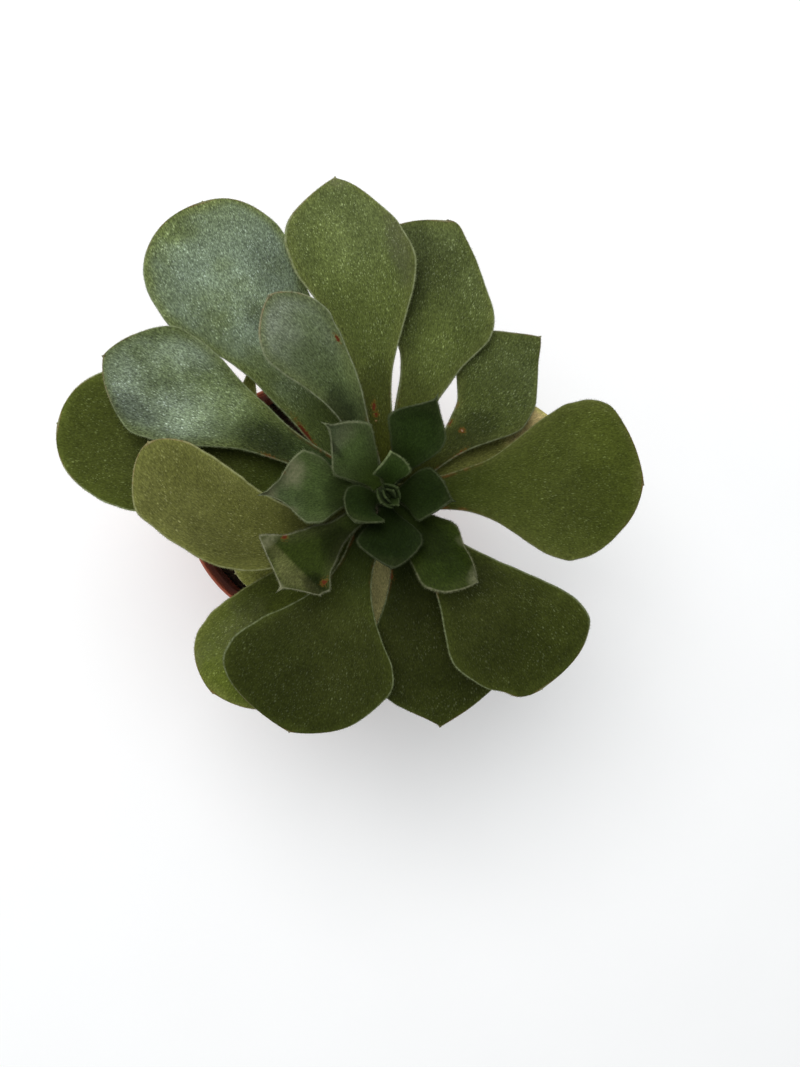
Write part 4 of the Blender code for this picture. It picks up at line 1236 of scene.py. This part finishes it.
hair_tree = make_hair_tree()
print("inputs of the hair tree:", [item.name for item in hair_tree.interface.items_tree
                                   if item.in_out == "INPUT"])


# %% From a tree to a piece
def socket_id(tree, label):
    """The identifier of a tree's input, by which a modifier is set."""
    return next(item.identifier for item in tree.interface.items_tree
                if item.item_type == "SOCKET" and item.in_out == "INPUT" and item.name == label)


def run_tree(piece, tree, values):
    """Runs a Geometry Nodes tree on a piece and returns the result as a plain mesh."""
    modifier = piece.modifiers.new(tree.name, "NODES")
    modifier.node_group = tree
    for label, value in values.items():
        modifier[socket_id(tree, label)] = value
    piece.update_tag()
    depsgraph = bpy.context.evaluated_depsgraph_get()
    depsgraph.update()
    result = bpy.data.meshes.new_from_object(piece.evaluated_get(depsgraph))
    piece.modifiers.clear()
    return result


def kept_mesh(work, name):
    """A mesh with the shape that was being worked on, which is then let go."""
    mesh = bpy.data.meshes.new(name)
    work.to_mesh(mesh)
    work.free()
    return mesh


def join_meshes(name, first, second, second_slot):
    """One mesh of both, where the faces of the second use the given material slot."""
    work = bmesh.new()
    work.from_mesh(first)
    count = len(work.faces)
    work.from_mesh(second)
    work.faces.ensure_lookup_table()
    for face in work.faces[count:]:
        face.material_index = second_slot
    return kept_mesh(work, name)


def paint(mesh, *materials):
    """Gives a mesh its materials, one in each slot."""
    mesh.materials.clear()
    for material in materials:
        mesh.materials.append(material)


def put_in(collection, name, data):
    """A new object in a collection."""
    made = bpy.data.objects.new(name, data)
    collection.objects.link(made)
    return made


def show(name, mesh, *materials):
    """Puts a mesh in the scene as a piece with its materials."""
    piece = put_in(scene.collection, name, mesh)
    paint(mesh, *materials)
    return piece


print("the input for the seed is called", socket_id(hair_tree, "Seed"))

# %% [markdown]
# Now every row of the table becomes a downy leaf.
#
# Each piece takes the name of the solid that it stands for with "fine" in front and rides on the same
# body.

# %% Dress every leaf
HAIR_LENGTH = 0.6 * MM
MARGIN_SPACING = 0.24 * MM
WOOL_SPACING = 0.09 * MM
HAIRS_PER_AREA = 130000.0
WOOL_DENSER = 2.0
WOOL_LONGER = 1.25
PHASE_STEP = 1.9
DRIFT_STEP = (0.37, 0.11, 0.0)


def dress_leaf(name, leaf, order):
    """The fine surface of one leaf with its hairs, in place of the solid."""
    woolly = leaf.finish in WOOLLY
    hair = dark_down if leaf.finish in DARK_DOWN_FINISHES else pale_down
    skin = leaf_material(name, leaf, [step * order for step in DRIFT_STEP])
    mesh = leaf_mesh("fine_" + name, leaf, LEAF_STATIONS, phase=PHASE_STEP * order)
    piece = show("fine_" + name, mesh, skin)
    hairs = run_tree(piece, hair_tree, {
        "Spacing": WOOL_SPACING if woolly else MARGIN_SPACING,
        "Hairs per Area": (WOOL_DENSER if woolly else 1.0) * HAIRS_PER_AREA,
        "Length": (WOOL_LONGER if woolly else 1.0) * HAIR_LENGTH, "Seed": order + 1, "Material": hair})
    piece.data = join_meshes("fine_" + name, mesh, hairs, 1)
    paint(piece.data, skin, hair)
    bpy.data.meshes.remove(hairs)
    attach(piece, "root")
    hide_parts(name)
    return piece


fine_leaves = {name: dress_leaf(name, leaf, order) for order, (name, leaf) in enumerate(LEAVES.items())}
triangles = sum(triangle_count(piece.data) for piece in fine_leaves.values())
print("dressed", len(fine_leaves), "leaves with", triangles, "triangles, hairs included")

# %% [markdown]
# The bud is where new leaves are born, so it is a tight knot of leaves a few millimetres long.
#
# They use the same function with fewer sections. A small egg-shaped core closes the knot from below, and
# all of it is one piece, because nobody will ever pick a single leaf out of a bud. The core is laid out
# ring by ring: a ready-made sphere lists its faces in another order each time, and its hairs would move.

# %% Dress the bud
BUD_LEAF_STATIONS = 24
BUD_CORE_RADIUS = 2.4 * MM
BUD_CORE_HEIGHT = 6.0 * MM
BUD_CORE_AROUND = 24
BUD_CORE_ROWS = 16
BUD_PHASE_STEP = 2.3
BUD_DRIFT = (1.7, 0.4, 0.0)
BUD_SPACING = 0.2 * MM
BUD_HAIR_SHARE = 0.7
BUD_SEED = 90


def core_mesh():
    """The egg-shaped core, ring by ring, so that its faces always come in the same order."""
    centre = stem_centre(STEM_TOP + LEAF_GAP + 0.5 * BUD_CORE_HEIGHT)
    half_height = 0.5 * BUD_CORE_HEIGHT
    places = []
    for row in range(1, BUD_CORE_ROWS):
        turn = math.pi * row / BUD_CORE_ROWS
        radius, height = BUD_CORE_RADIUS * math.sin(turn), half_height * math.cos(turn)
        for index in range(BUD_CORE_AROUND):
            angle = math.tau * index / BUD_CORE_AROUND
            places.append(centre + Vector((radius * math.cos(angle), radius * math.sin(angle), height)))
    last_ring = BUD_CORE_ROWS - 2
    faces = tube_faces(last_ring, BUD_CORE_AROUND)
    for ring, height in ((0, half_height), (last_ring, -half_height)):
        faces += cap_faces(ring, BUD_CORE_AROUND, len(places))
        places.append(centre + Vector((0.0, 0.0, height)))
    mesh = bpy.data.meshes.new("fine_bud")
    mesh.from_pydata(places, [], faces)
    return turned_outwards(mesh)


def bud_mesh():
    """The tiny leaves and the core of the bud as one mesh."""
    mesh = core_mesh()
    for order, leaf in enumerate(BUD_LEAVES):
        tiny = leaf_mesh(f"tiny_leaf_{order + 1}", leaf, BUD_LEAF_STATIONS, phase=BUD_PHASE_STEP * order)
        grown = join_meshes("fine_bud", tiny, mesh, 0)
        bpy.data.meshes.remove(mesh)
        bpy.data.meshes.remove(tiny)
        mesh = grown
    mesh.shade_smooth()
    return mesh


def dress_bud():
    """The fine bud with its hairs, in place of the solid."""
    mesh = bud_mesh()
    skin = leaf_material("bud", BUD_LEAVES[0], BUD_DRIFT)
    piece = show("fine_bud", mesh, skin)
    hairs = run_tree(piece, hair_tree, {
        "Spacing": BUD_SPACING, "Hairs per Area": WOOL_DENSER * HAIRS_PER_AREA,
        "Length": BUD_HAIR_SHARE * HAIR_LENGTH, "Seed": BUD_SEED, "Material": dark_down})
    piece.data = join_meshes("fine_bud", mesh, hairs, 1)
    paint(piece.data, skin, dark_down)
    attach(piece, "root")
    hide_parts("bud")
    return piece


fine_bud = dress_bud()
print("the bud's top is at", round(max(vertex.co.z for vertex in fine_bud.data.vertices) / MM, 1), "mm")

# %% [markdown]
# The stem is woody, and every leaf that fell has left a scar on it.
#
# The scars are wide, low ovals in a spiral, a golden angle apart, because that is the order in which the
# leaves grew. A tube with many points can carry them as real relief, and the bark's fine cracks come from
# noise that moves the same points a little in or out.

# %% Form of the stem
STEM_AROUND = 112
STEM_ROWS = 300
GOLDEN_ANGLE = math.radians(137.508)
SCAR_STEP = 3.3 * MM
SCAR_HALF_WIDTH = 4.3 * MM
SCAR_HALF_HEIGHT = 1.6 * MM
SCAR_RELIEF = 0.40 * MM
BARK_RELIEF = 0.22 * MM
SCARS_FROM = SOIL_TOP + 3.0 * MM
SCARS_TO = 141.0 * MM
SCAR_EDGE = 0.35
SCAR_DIP = 0.55
DIP_STARTS = 0.45
DIP_GROWS = 0.4
CRACKS_AROUND = 9.0
CRACKS_ALONG = 260.0
CRACKS_ON_SCAR = 0.7


def stem_scars():
    """The middle of each leaf scar: (height, angle round the stem)."""
    count = int((SCARS_TO - SCARS_FROM) / SCAR_STEP)
    return [(SCARS_FROM + SCAR_STEP * index, GOLDEN_ANGLE * index) for index in range(count)]


def scar_at(height, angle, radius, scars):
    """How deep inside the nearest scar a place on the bark is: 0 outside, 1 in its middle."""
    deepest = 0.0
    for scar_height, scar_angle in scars:
        if abs(height - scar_height) > SCAR_HALF_HEIGHT:
            continue
        around = math.remainder(angle - scar_angle, math.tau) * radius
        reach = (around / SCAR_HALF_WIDTH) ** 2 + ((height - scar_height) / SCAR_HALF_HEIGHT) ** 2
        deepest = max(deepest, 1.0 - reach)
    return deepest


def fine_stem_mesh():
    """A closed tube with scars and cracked bark, and the attribute scar."""
    scars = stem_scars()
    places, scar_values = [], []
    for row in range(STEM_ROWS + 1):
        height = STEM_BOTTOM + (STEM_TOP - STEM_BOTTOM) * row / STEM_ROWS
        centre, radius = stem_centre(height), stem_radius(height)
        for index in range(STEM_AROUND):
            angle = math.tau * index / STEM_AROUND
            out = Vector((math.cos(angle), math.sin(angle), 0.0))
            scar = scar_at(height, angle, radius, scars)
            dip = 1.0 - SCAR_DIP * ease((scar - DIP_STARTS) / DIP_GROWS)
            swell = SCAR_RELIEF * ease(scar / SCAR_EDGE) * dip
            on_bark = Vector((out.x * CRACKS_AROUND, out.y * CRACKS_AROUND, height * CRACKS_ALONG))
            crack = noise.fractal(on_bark, 0.8, 2.0, 4)
            relief = swell + BARK_RELIEF * crack * (1.0 - CRACKS_ON_SCAR * ease(scar / 0.3))
            relief = min(relief, 0.0) if height < SOIL_TOP else relief
            places.append(centre + out * (radius + relief))
            scar_values.append(scar)
    faces = tube_faces(STEM_ROWS, STEM_AROUND)
    for row, height in ((0, STEM_BOTTOM), (STEM_ROWS, STEM_TOP)):
        faces += cap_faces(row, STEM_AROUND, len(places))
        places.append(stem_centre(height))
        scar_values.append(0.0)
    mesh = bpy.data.meshes.new("fine_stem")
    mesh.from_pydata(places, [], faces)
    store(mesh, "scar", "FLOAT", scar_values)
    return turned_outwards(mesh)


stem_mesh = fine_stem_mesh()
print("leaf scars on the stem:", len(stem_scars()), "and triangles:", triangle_count(stem_mesh))

# %% [markdown]
# Bark is grey-brown and dull, with darker cracks and a dark rim round each pale scar.
#
# The stored attribute tells the material where the scars are, so their colour always lies on their
# relief. The youngest part of the stem, under the heart, is still green.

# %% Finish of the stem
GREEN_FROM = 150.0 * MM
BARK_DARK = (0.085, 0.055, 0.030, 1.0)
BARK_PALE = (0.150, 0.115, 0.075, 1.0)
BARK_CRACK = (0.030, 0.018, 0.010, 1.0)
SCAR_MIDDLE = (0.210, 0.165, 0.110, 1.0)
SCAR_RIM = (0.040, 0.024, 0.014, 1.0)
YOUNG_BARK = (0.016, 0.026, 0.006, 1.0)


def bark_material():
    """Grey-brown bark with darker cracks and paler scars with a dark rim, and still green at the top."""
    material, tree, shader, place = start_material("bark", 0.85, Specular_IOR_Level=0.25)
    blotches = grain(tree, place, 90.0, 4.0)
    fibres = grain(tree, mapped(tree, place, (1.0, 1.0, 0.45)), 900.0, 5.0, 0.65)
    scar = attribute(tree, "scar")
    height = add(tree, "ShaderNodeSeparateXYZ", {0: place}).outputs["Z"]
    colour = blend_colours(tree, blotches, BARK_DARK, BARK_PALE)
    rim = times(tree, ramp(tree, scar, 0.0, 0.2), ramp(tree, scar, 0.25, 0.45, 1.0, 0.0))
    for mask, tint in ((ramp(tree, fibres, 0.35, 0.6, 0.75, 0.0), BARK_CRACK),
                       (ramp(tree, scar, 0.35, 0.7), SCAR_MIDDLE), (rim, SCAR_RIM),
                       (ramp(tree, height, GREEN_FROM, STEM_TOP), YOUNG_BARK)):
        colour = blend_colours(tree, mask, colour, tint)
    link_surface(tree, shader, colour, ramp(tree, fibres, 0.3, 0.7, 0.95, 0.75), fibres)
    return material


fine_stem = show("fine_stem", stem_mesh, bark_material())
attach(fine_stem, "root")
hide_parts("stem")
print("the stem is dressed")

# %% [markdown]
# Potting soil is dark peat with crumbs, bits of bark and a few white grains of perlite.
#
# The plug's surface follows the same low waves as the solid. The crumbs on it are scattered by Geometry
# Nodes from three small lumps, because thousands of separate models would be slow and heavy.

# %% Form of the soil
SOIL_AROUND = 120
SOIL_RINGS = 26
SOIL_CRUMB_RELIEF = 0.8 * MM
SOIL_CRUMBS_ALONG = 320.0


def pot_inner_radius(height):
    """The radius of the pot's inner wall at a height below the rim band."""
    slope = (WALL_TOP_RADIUS - FOOT_RADIUS) / BAND_BOTTOM
    return FOOT_RADIUS + slope * height - WALL


def soil_height(x, y):
    """The height of the soil's surface: the solid's low waves and finer crumbs on top."""
    coarse = math.sin(SOIL_COARSE_WAVES * x + 1.0) * math.cos(SOIL_COARSE_WAVES * y)
    fine = math.sin(SOIL_FINE_WAVES * (x - y))
    crumbs = noise.fractal(Vector((x, y, 0.0)) * SOIL_CRUMBS_ALONG, 0.7, 2.1, 4)
    return SOIL_TOP + SOIL_RELIEF * (coarse + SOIL_FINE_SHARE * fine) + SOIL_CRUMB_RELIEF * crumbs


def fine_soil_mesh():
    """A closed plug of soil round the stem, with a crumbly top."""
    inner = STEM_FOOT_RADIUS - LEAF_GAP
    outer = pot_inner_radius(SOIL_TOP) - LEAF_GAP
    bottom = FLOOR_TOP + LEAF_GAP
    foot = pot_inner_radius(bottom) - FOOT_ROUND - LEAF_GAP
    rings = [(inner, lambda x, y: STEM_BOTTOM)]
    for index in range(SOIL_RINGS + 1):
        rings.append((inner + (outer - inner) * index / SOIL_RINGS, soil_height))
    rings.append((foot, lambda x, y: bottom))
    places = []
    for radius, level in rings:
        for index in range(SOIL_AROUND):
            angle = math.tau * index / SOIL_AROUND
            x, y = radius * math.cos(angle), radius * math.sin(angle)
            places.append((x, y, level(x, y)))
    faces = tube_faces(len(rings) - 1, SOIL_AROUND)
    for row, height in ((0, STEM_BOTTOM), (len(rings) - 1, bottom)):
        faces += cap_faces(row, SOIL_AROUND, len(places))
        places.append((0.0, 0.0, height))
    mesh = bpy.data.meshes.new("fine_soil")
    mesh.from_pydata(places, [], faces)
    return turned_outwards(mesh)


soil_plug = fine_soil_mesh()
print("triangles of the plug of soil:", triangle_count(soil_plug))

# %% Patterns for crumbs
LUMP_WAVES = 1.7
LUMP_UNEVENNESS = 0.45


def lump(name, size, flatness, seed):
    """A small uneven lump with few faces, as a pattern for crumbs."""
    work = bmesh.new()
    bmesh.ops.create_icosphere(work, subdivisions=1, radius=size)
    for vertex in work.verts:
        place = vertex.co.normalized() * LUMP_WAVES + Vector((seed, 0.0, 0.0))
        push = 1.0 + LUMP_UNEVENNESS * noise.noise(place)
        vertex.co = Vector((vertex.co.x * push, vertex.co.y * push, vertex.co.z * push * flatness))
    return put_in(patterns, name, kept_mesh(work, name))


patterns = bpy.data.collections.new("soil_patterns")
scene.collection.children.link(patterns)
crumb_pattern = lump("crumb", 0.9 * MM, 0.8, 3.0)
chip_pattern = lump("bark_chip", 1.6 * MM, 0.32, 11.0)
perlite_pattern = lump("perlite", 0.8 * MM, 0.9, 27.0)
print("faces of one crumb:", len(crumb_pattern.data.polygons))

# %% Geometry Nodes tree for crumbs
LOOKS_UP_FROM = 0.4


def make_crumb_tree():
    """Scatters one kind of crumb over faces that look up."""
    tree, given = start_tree(
        "soil_crumbs",
        {"Soil": ("Geometry", None), "Crumb": ("Object", None), "Per Area": ("Float", 100000.0),
         "Smallest": ("Float", 0.4), "Largest": ("Float", 1.2), "Seed": ("Int", 1),
         "Material": ("Material", None)}, "Crumbs")
    normal = add(tree, "GeometryNodeInputNormal").outputs[0]
    upwards = add(tree, "ShaderNodeSeparateXYZ", {0: normal}).outputs["Z"]
    looks_up = add(tree, "FunctionNodeCompare", {0: upwards, 1: LOOKS_UP_FROM}, data_type="FLOAT",
                   operation="GREATER_THAN").outputs[0]
    scattered = add(tree, "GeometryNodeDistributePointsOnFaces",
                    {"Mesh": given["Soil"], "Selection": looks_up, "Density": given["Per Area"],
                     "Seed": given["Seed"]})
    crumb = add(tree, "GeometryNodeObjectInfo", {"Object": given["Crumb"]}).outputs["Geometry"]
    size = random_number(tree, given["Seed"], given["Smallest"], given["Largest"])
    turned = random_vector(tree, given["Seed"], math.pi)
    laid = add(tree, "GeometryNodeInstanceOnPoints",
               {"Points": scattered.outputs["Points"], "Instance": crumb, "Rotation": turned,
                "Scale": size})
    return end_tree(tree, laid.outputs[0], given["Material"])


def crumbly_material(name, dark, light, roughness):
    """A dull, grainy material between two colours."""
    material, tree, shader, place = start_material(name, roughness, Specular_IOR_Level=0.15)
    lumps = grain(tree, place, 420.0, 4.0, 0.6)
    dust = grain(tree, place, 2600.0, 3.0, 0.7)
    colour = blend_colours(tree, ramp(tree, lumps, 0.3, 0.7), dark, light)
    colour = vector_math(tree, "MULTIPLY", colour, ramp(tree, dust, 0.3, 0.7, 0.7, 1.25))
    link_surface(tree, shader, colour, relief=dust, strength=0.7, depth=0.3)
    return material


peat = crumbly_material("peat", (0.010, 0.006, 0.004, 1.0), (0.038, 0.022, 0.013, 1.0), 0.95)
bark_chip = crumbly_material("bark_chips", (0.035, 0.018, 0.010, 1.0), (0.110, 0.062, 0.034, 1.0), 0.85)
perlite = crumbly_material("perlite_grains", (0.380, 0.370, 0.340, 1.0), (0.620, 0.610, 0.580, 1.0), 0.9)
crumb_tree = make_crumb_tree()
print("soil materials:", peat.name, bark_chip.name, perlite.name)

# %% Dress the soil
# A kind of crumb: pattern, material, number per square metre, smallest and largest size, seed
CRUMBS = (
    (crumb_pattern, peat, 420000.0, 0.35, 1.1, 1),
    (chip_pattern, bark_chip, 60000.0, 0.5, 1.2, 2),
    (perlite_pattern, perlite, 22000.0, 0.5, 1.1, 3),
)


def dress_soil():
    """The fine soil with its crumbs, in place of the solid."""
    piece = show("fine_soil", soil_plug, peat)
    mesh = soil_plug
    for pattern, material, per_area, smallest, largest, seed in CRUMBS:
        piece.data = soil_plug
        crumbs = run_tree(piece, crumb_tree, {"Crumb": pattern, "Per Area": per_area, "Smallest": smallest,
                                              "Largest": largest, "Seed": seed, "Material": material})
        mesh = join_meshes("fine_soil", mesh, crumbs, seed - 1)
    piece.data = mesh
    paint(mesh, peat, bark_chip, perlite)
    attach(piece, "root")
    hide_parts("soil")
    return piece


fine_soil = dress_soil()
for pattern in (crumb_pattern, chip_pattern, perlite_pattern):
    bpy.data.objects.remove(pattern)
bpy.data.collections.remove(patterns)
print("triangles of soil and crumbs:", triangle_count(fine_soil.data))

# %% [markdown]
# The pot is thin plastic, moulded in one shot: a rim band, a tapered wall, a floor with drainage holes.
#
# It is a turned shape, so a Screw modifier sweeps its profile round, and a Boolean drills the holes. The
# fine one has more steps and more points on every corner than the solid, so its edges catch the light.

# %% Form of the pot
POT_STEPS = 144
CORNER_POINTS = 5
LIP_ROUND = 0.5 * MM
BAND_ROUND = 0.6 * MM
HOLE_STEPS = 28
SAME_POINT = 0.02 * MM
SHARP_FROM = math.radians(32.0)


def arc(centre_radius, centre_height, radius, start, stop):
    """Points on an arc between two angles in degrees, for a rounded corner of the profile."""
    angles = [math.radians(start + (stop - start) * index / (CORNER_POINTS - 1))
              for index in range(CORNER_POINTS)]
    return [(centre_radius + radius * math.cos(angle), centre_height + radius * math.sin(angle))
            for angle in angles]


def fine_pot_profile():
    """From the axis over the floor, up the inside, over the rim, down the outside and back."""
    lip_height = POT_HEIGHT - LIP_ROUND
    recess = FOOT_RADIUS - FOOT_RING_WIDTH
    floor_corner = pot_inner_radius(FLOOR_TOP + FOOT_ROUND) - FOOT_ROUND
    profile = [(0.0, FLOOR_TOP)]
    profile += arc(floor_corner, FLOOR_TOP + FOOT_ROUND, FOOT_ROUND, -90, 0)
    profile += [(pot_inner_radius(BAND_BOTTOM), BAND_BOTTOM), (RIM_RADIUS - WALL, BAND_BOTTOM + BAND_STEP)]
    profile += arc(RIM_RADIUS - WALL + LIP_ROUND, lip_height, LIP_ROUND, 180, 90)
    profile += arc(RIM_RADIUS - LIP_ROUND, lip_height, LIP_ROUND, 90, 0)
    profile += arc(RIM_RADIUS - BAND_ROUND, BAND_BOTTOM + BAND_ROUND, BAND_ROUND, 0, -90)
    profile += [(WALL_TOP_RADIUS, BAND_BOTTOM)]
    profile += arc(FOOT_RADIUS - FOOT_ROUND, FOOT_ROUND, FOOT_ROUND, 0, -90)
    profile += [(recess, 0.0), (recess, FOOT_RECESS), (BOSS_RADIUS, FOOT_RECESS), (BOSS_RADIUS, 0.0),
                (0.0, 0.0)]
    return profile


def drill(piece):
    """Cuts the ring of drainage holes with a Boolean and applies it."""
    work = bmesh.new()
    for index in range(HOLE_COUNT):
        turn = math.tau * index / HOLE_COUNT
        made = bmesh.ops.create_cone(work, segments=HOLE_STEPS, radius1=HOLE_RADIUS, radius2=HOLE_RADIUS,
                                     depth=3 * FLOOR_TOP, cap_ends=True)
        shift = (HOLE_RING_RADIUS * math.cos(turn), HOLE_RING_RADIUS * math.sin(turn), FLOOR_TOP / 2)
        bmesh.ops.translate(work, verts=made["verts"], vec=Vector(shift))
    bits = kept_mesh(work, "drill_bits")
    cutter = put_in(scene.collection, "drill_bits", bits)
    cut = piece.modifiers.new("Drainage holes", "BOOLEAN")
    cut.object = cutter
    cut.solver = "EXACT"
    depsgraph = bpy.context.evaluated_depsgraph_get()
    mesh = bpy.data.meshes.new_from_object(piece.evaluated_get(depsgraph))
    piece.modifiers.clear()
    piece.data = mesh
    bpy.data.objects.remove(cutter)
    bpy.data.meshes.remove(bits)


def fine_pot():
    """The turned and drilled pot."""
    profile = fine_pot_profile()
    mesh = bpy.data.meshes.new("fine_pot")
    edges = [(index, index + 1) for index in range(len(profile) - 1)]
    mesh.from_pydata([(radius, 0.0, height) for radius, height in profile], edges, [])
    piece = put_in(scene.collection, "fine_pot", mesh)
    screw = piece.modifiers.new("Turn", "SCREW")
    screw.steps = POT_STEPS
    screw.render_steps = POT_STEPS
    screw.use_merge_vertices = True
    screw.merge_threshold = SAME_POINT
    drill(piece)
    turned_outwards(piece.data).set_sharp_from_angle(angle=SHARP_FROM)
    return piece


pot_piece = fine_pot()
print("triangles of the pot:", triangle_count(pot_piece.data))

# %% [markdown]
# Nursery plastic is brick red, slightly uneven and never clean.
#
# The colour drifts a little, the wall has the faint rings of its mould and fine scratches, and dust and
# dried splashes of soil cling to the inside above the soil and to the foot. The inside is painted darker
# as shade.

# %% Finish of the pot
BRICK_DARK = (0.340, 0.076, 0.040, 1.0)
BRICK_LIGHT = (0.440, 0.112, 0.062, 1.0)
SCRATCH_PALE = (0.520, 0.240, 0.170, 1.0)
# Painted shade: the colour that darkens the pot's inside.
INSIDE_PAINTED_SHADE = (0.070, 0.013, 0.007, 1.0)
DRIED_SOIL = (0.034, 0.014, 0.008, 1.0)


def inside_mask(tree, radius, height):
    """1 on the pot's inside below the band's top, and 0 on its outside."""
    slope = (WALL_TOP_RADIUS - FOOT_RADIUS) / BAND_BOTTOM
    inner_face = RIM_RADIUS - WALL
    wall_height = reckon(tree, "MINIMUM", height, BAND_BOTTOM)
    depth = reckon(tree, "SUBTRACT", plus(tree, times(tree, wall_height, slope), FOOT_RADIUS), radius)
    wall = times(tree, ramp(tree, depth, 0.3 * WALL, 0.7 * WALL),
                 ramp(tree, height, FOOT_RECESS + 0.3 * MM, FLOOR_TOP - 0.3 * MM))
    band = times(tree, ramp(tree, radius, inner_face + 0.05 * MM, inner_face + 0.35 * MM, 1.0, 0.0),
                 ramp(tree, height, BAND_BOTTOM - 0.3 * MM, BAND_BOTTOM + 0.3 * MM),
                 ramp(tree, height, BAND_BOTTOM + 0.5 * MM, BAND_BOTTOM + 4.0 * MM, 1.0, 0.0))
    return reckon(tree, "MAXIMUM", wall, band)


def plastic_material():
    """Brick-red plastic with mould rings, scratches, dust and soil stains, and painted shade inside."""
    material, tree, shader, place = start_material("brick_red_plastic", 0.45, Specular_IOR_Level=0.4)
    parts = add(tree, "ShaderNodeSeparateXYZ", {0: place})
    height = parts.outputs["Z"]
    out = add(tree, "ShaderNodeCombineXYZ", {"X": parts.outputs["X"], "Y": parts.outputs["Y"]}).outputs[0]
    inside = inside_mask(tree, vector_math(tree, "LENGTH", out, output="Value"), height)
    clouds = grain(tree, place, 30.0, 3.0)
    specks = grain(tree, place, 900.0, 4.0, 0.6)
    rings = grain(tree, mapped(tree, place, (30.0, 30.0, 900.0)), 1.0, 2.0)
    scratched = mapped(tree, place, (1200.0, 60.0, 60.0), (0.5, 0.3, 0.9))
    scratches = times(tree, ramp(tree, grain(tree, scratched, 1.0, 2.0), 0.66, 0.72), 0.35)
    splashes = ramp(tree, grain(tree, place, 120.0, 5.0, 0.65), 0.42, 0.62)

    low_dust = ramp(tree, height, 0.0, 30.0 * MM, 0.5, 0.0)
    near_soil = times(tree, ramp(tree, height, 60.0 * MM, SOIL_TOP, 0.0, 1.0),
                      ramp(tree, height, SOIL_TOP, POT_HEIGHT - 2.0 * MM, 0.9, 0.1))
    dirt = reckon(tree, "MAXIMUM", times(tree, near_soil, inside, splashes),
                  times(tree, low_dust, splashes))
    dirt = times(tree, dirt, ramp(tree, specks, 0.35, 0.6, 0.35, 1.0), clamp=True)

    colour = blend_colours(tree, clouds, BRICK_DARK, BRICK_LIGHT)
    # Painted shade: the inside is blended towards a dark red, as if shaded by the leaves.
    for mask, tint in ((scratches, SCRATCH_PALE), (times(tree, inside, 0.8), INSIDE_PAINTED_SHADE),
                       (dirt, DRIED_SOIL)):
        colour = blend_colours(tree, mask, colour, tint)
    rough = plus(tree, ramp(tree, specks, 0.3, 0.7, 0.38, 0.52), times(tree, dirt, 0.4))
    relief = plus(tree, times(tree, rings, 0.6), times(tree, specks, 0.4), times(tree, dirt, 0.8))
    link_surface(tree, shader, colour, rough, relief, strength=0.3, depth=0.2)
    return material


paint(pot_piece.data, plastic_material())
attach(pot_piece, "root")
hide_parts("pot")
print("the pot is dressed")

# %% [markdown]
# The plant stands on a plain pale floor, in soft light from the upper left.
#
# The picture was taken from almost straight above, so the floor is the backdrop as well. A bright, even
# sky fills the shadows, and one broad lamp gives the leaves their slow change from light to dark.

# %% Floor, light and camera
FLOOR_SIZE = 6.0
FLOOR_TONES = ((0.93, 0.93, 0.93, 1.0), (0.96, 0.96, 0.96, 1.0))
CAMERA_TILT = math.radians(8.0)
CAMERA_LENS = 32.0
CAMERA_SENSOR = 36.0
CAMERA_NEAREST = 0.01
CAMERA_PLACE = Vector((-18.5, -12.7, 497.4)) * MM
SKY_COLOUR = (0.97, 0.99, 1.0, 1.0)
SKY_STRENGTH = 0.67
LAMP_PLACE = Vector((-0.30, 0.50, 1.20))
LAMP_SIZE = 0.9
LAMP_POWER = 10.6


def make_floor():
    """A large pale floor with the faintest unevenness in its tone."""
    mesh = bpy.data.meshes.new("pale_floor")
    half = 0.5 * FLOOR_SIZE
    corners = [(-half, -half, 0.0), (half, -half, 0.0), (half, half, 0.0), (-half, half, 0.0)]
    mesh.from_pydata(corners, [], [(0, 1, 2, 3)])
    material, tree, shader, place = start_material("pale_floor", 0.9, Specular_IOR_Level=0.1)
    tone = grain(tree, place, 12.0, 3.0)
    link_surface(tree, shader, blend_colours(tree, tone, *FLOOR_TONES))
    floor = show("pale_floor", mesh, material)


def make_lights():
    """A bright even sky and one broad lamp at the upper left."""
    world = bpy.data.worlds.new("studio")
    world.use_nodes = True
    sky = world.node_tree.nodes["Background"]
    sky.inputs["Color"].default_value = SKY_COLOUR
    sky.inputs["Strength"].default_value = SKY_STRENGTH
    scene.world = world
    data = bpy.data.lights.new("broad_lamp", "AREA")
    data.shape = "DISK"
    data.size = LAMP_SIZE
    data.energy = LAMP_POWER
    lamp = put_in(scene.collection, "broad_lamp", data)
    lamp.location = LAMP_PLACE
    target = Vector((ROSETTE_X, ROSETTE_Y, STEM_TOP))
    lamp.rotation_euler = (target - LAMP_PLACE).to_track_quat("-Z", "Y").to_euler()


def make_camera():
    """The picture's viewpoint: above the plant, leaning a little towards +X."""
    data = bpy.data.cameras.new("camera")
    data.lens = CAMERA_LENS
    data.sensor_width = CAMERA_SENSOR
    data.clip_start = CAMERA_NEAREST
    camera = put_in(scene.collection, "camera", data)
    camera.location = CAMERA_PLACE
    camera.rotation_euler = (0.0, -CAMERA_TILT, 0.0)
    scene.camera = camera


make_floor()
make_lights()
make_camera()
scene.view_settings.view_transform = "Standard"
print("camera at", [round(part / MM, 1) for part in CAMERA_PLACE], "mm")
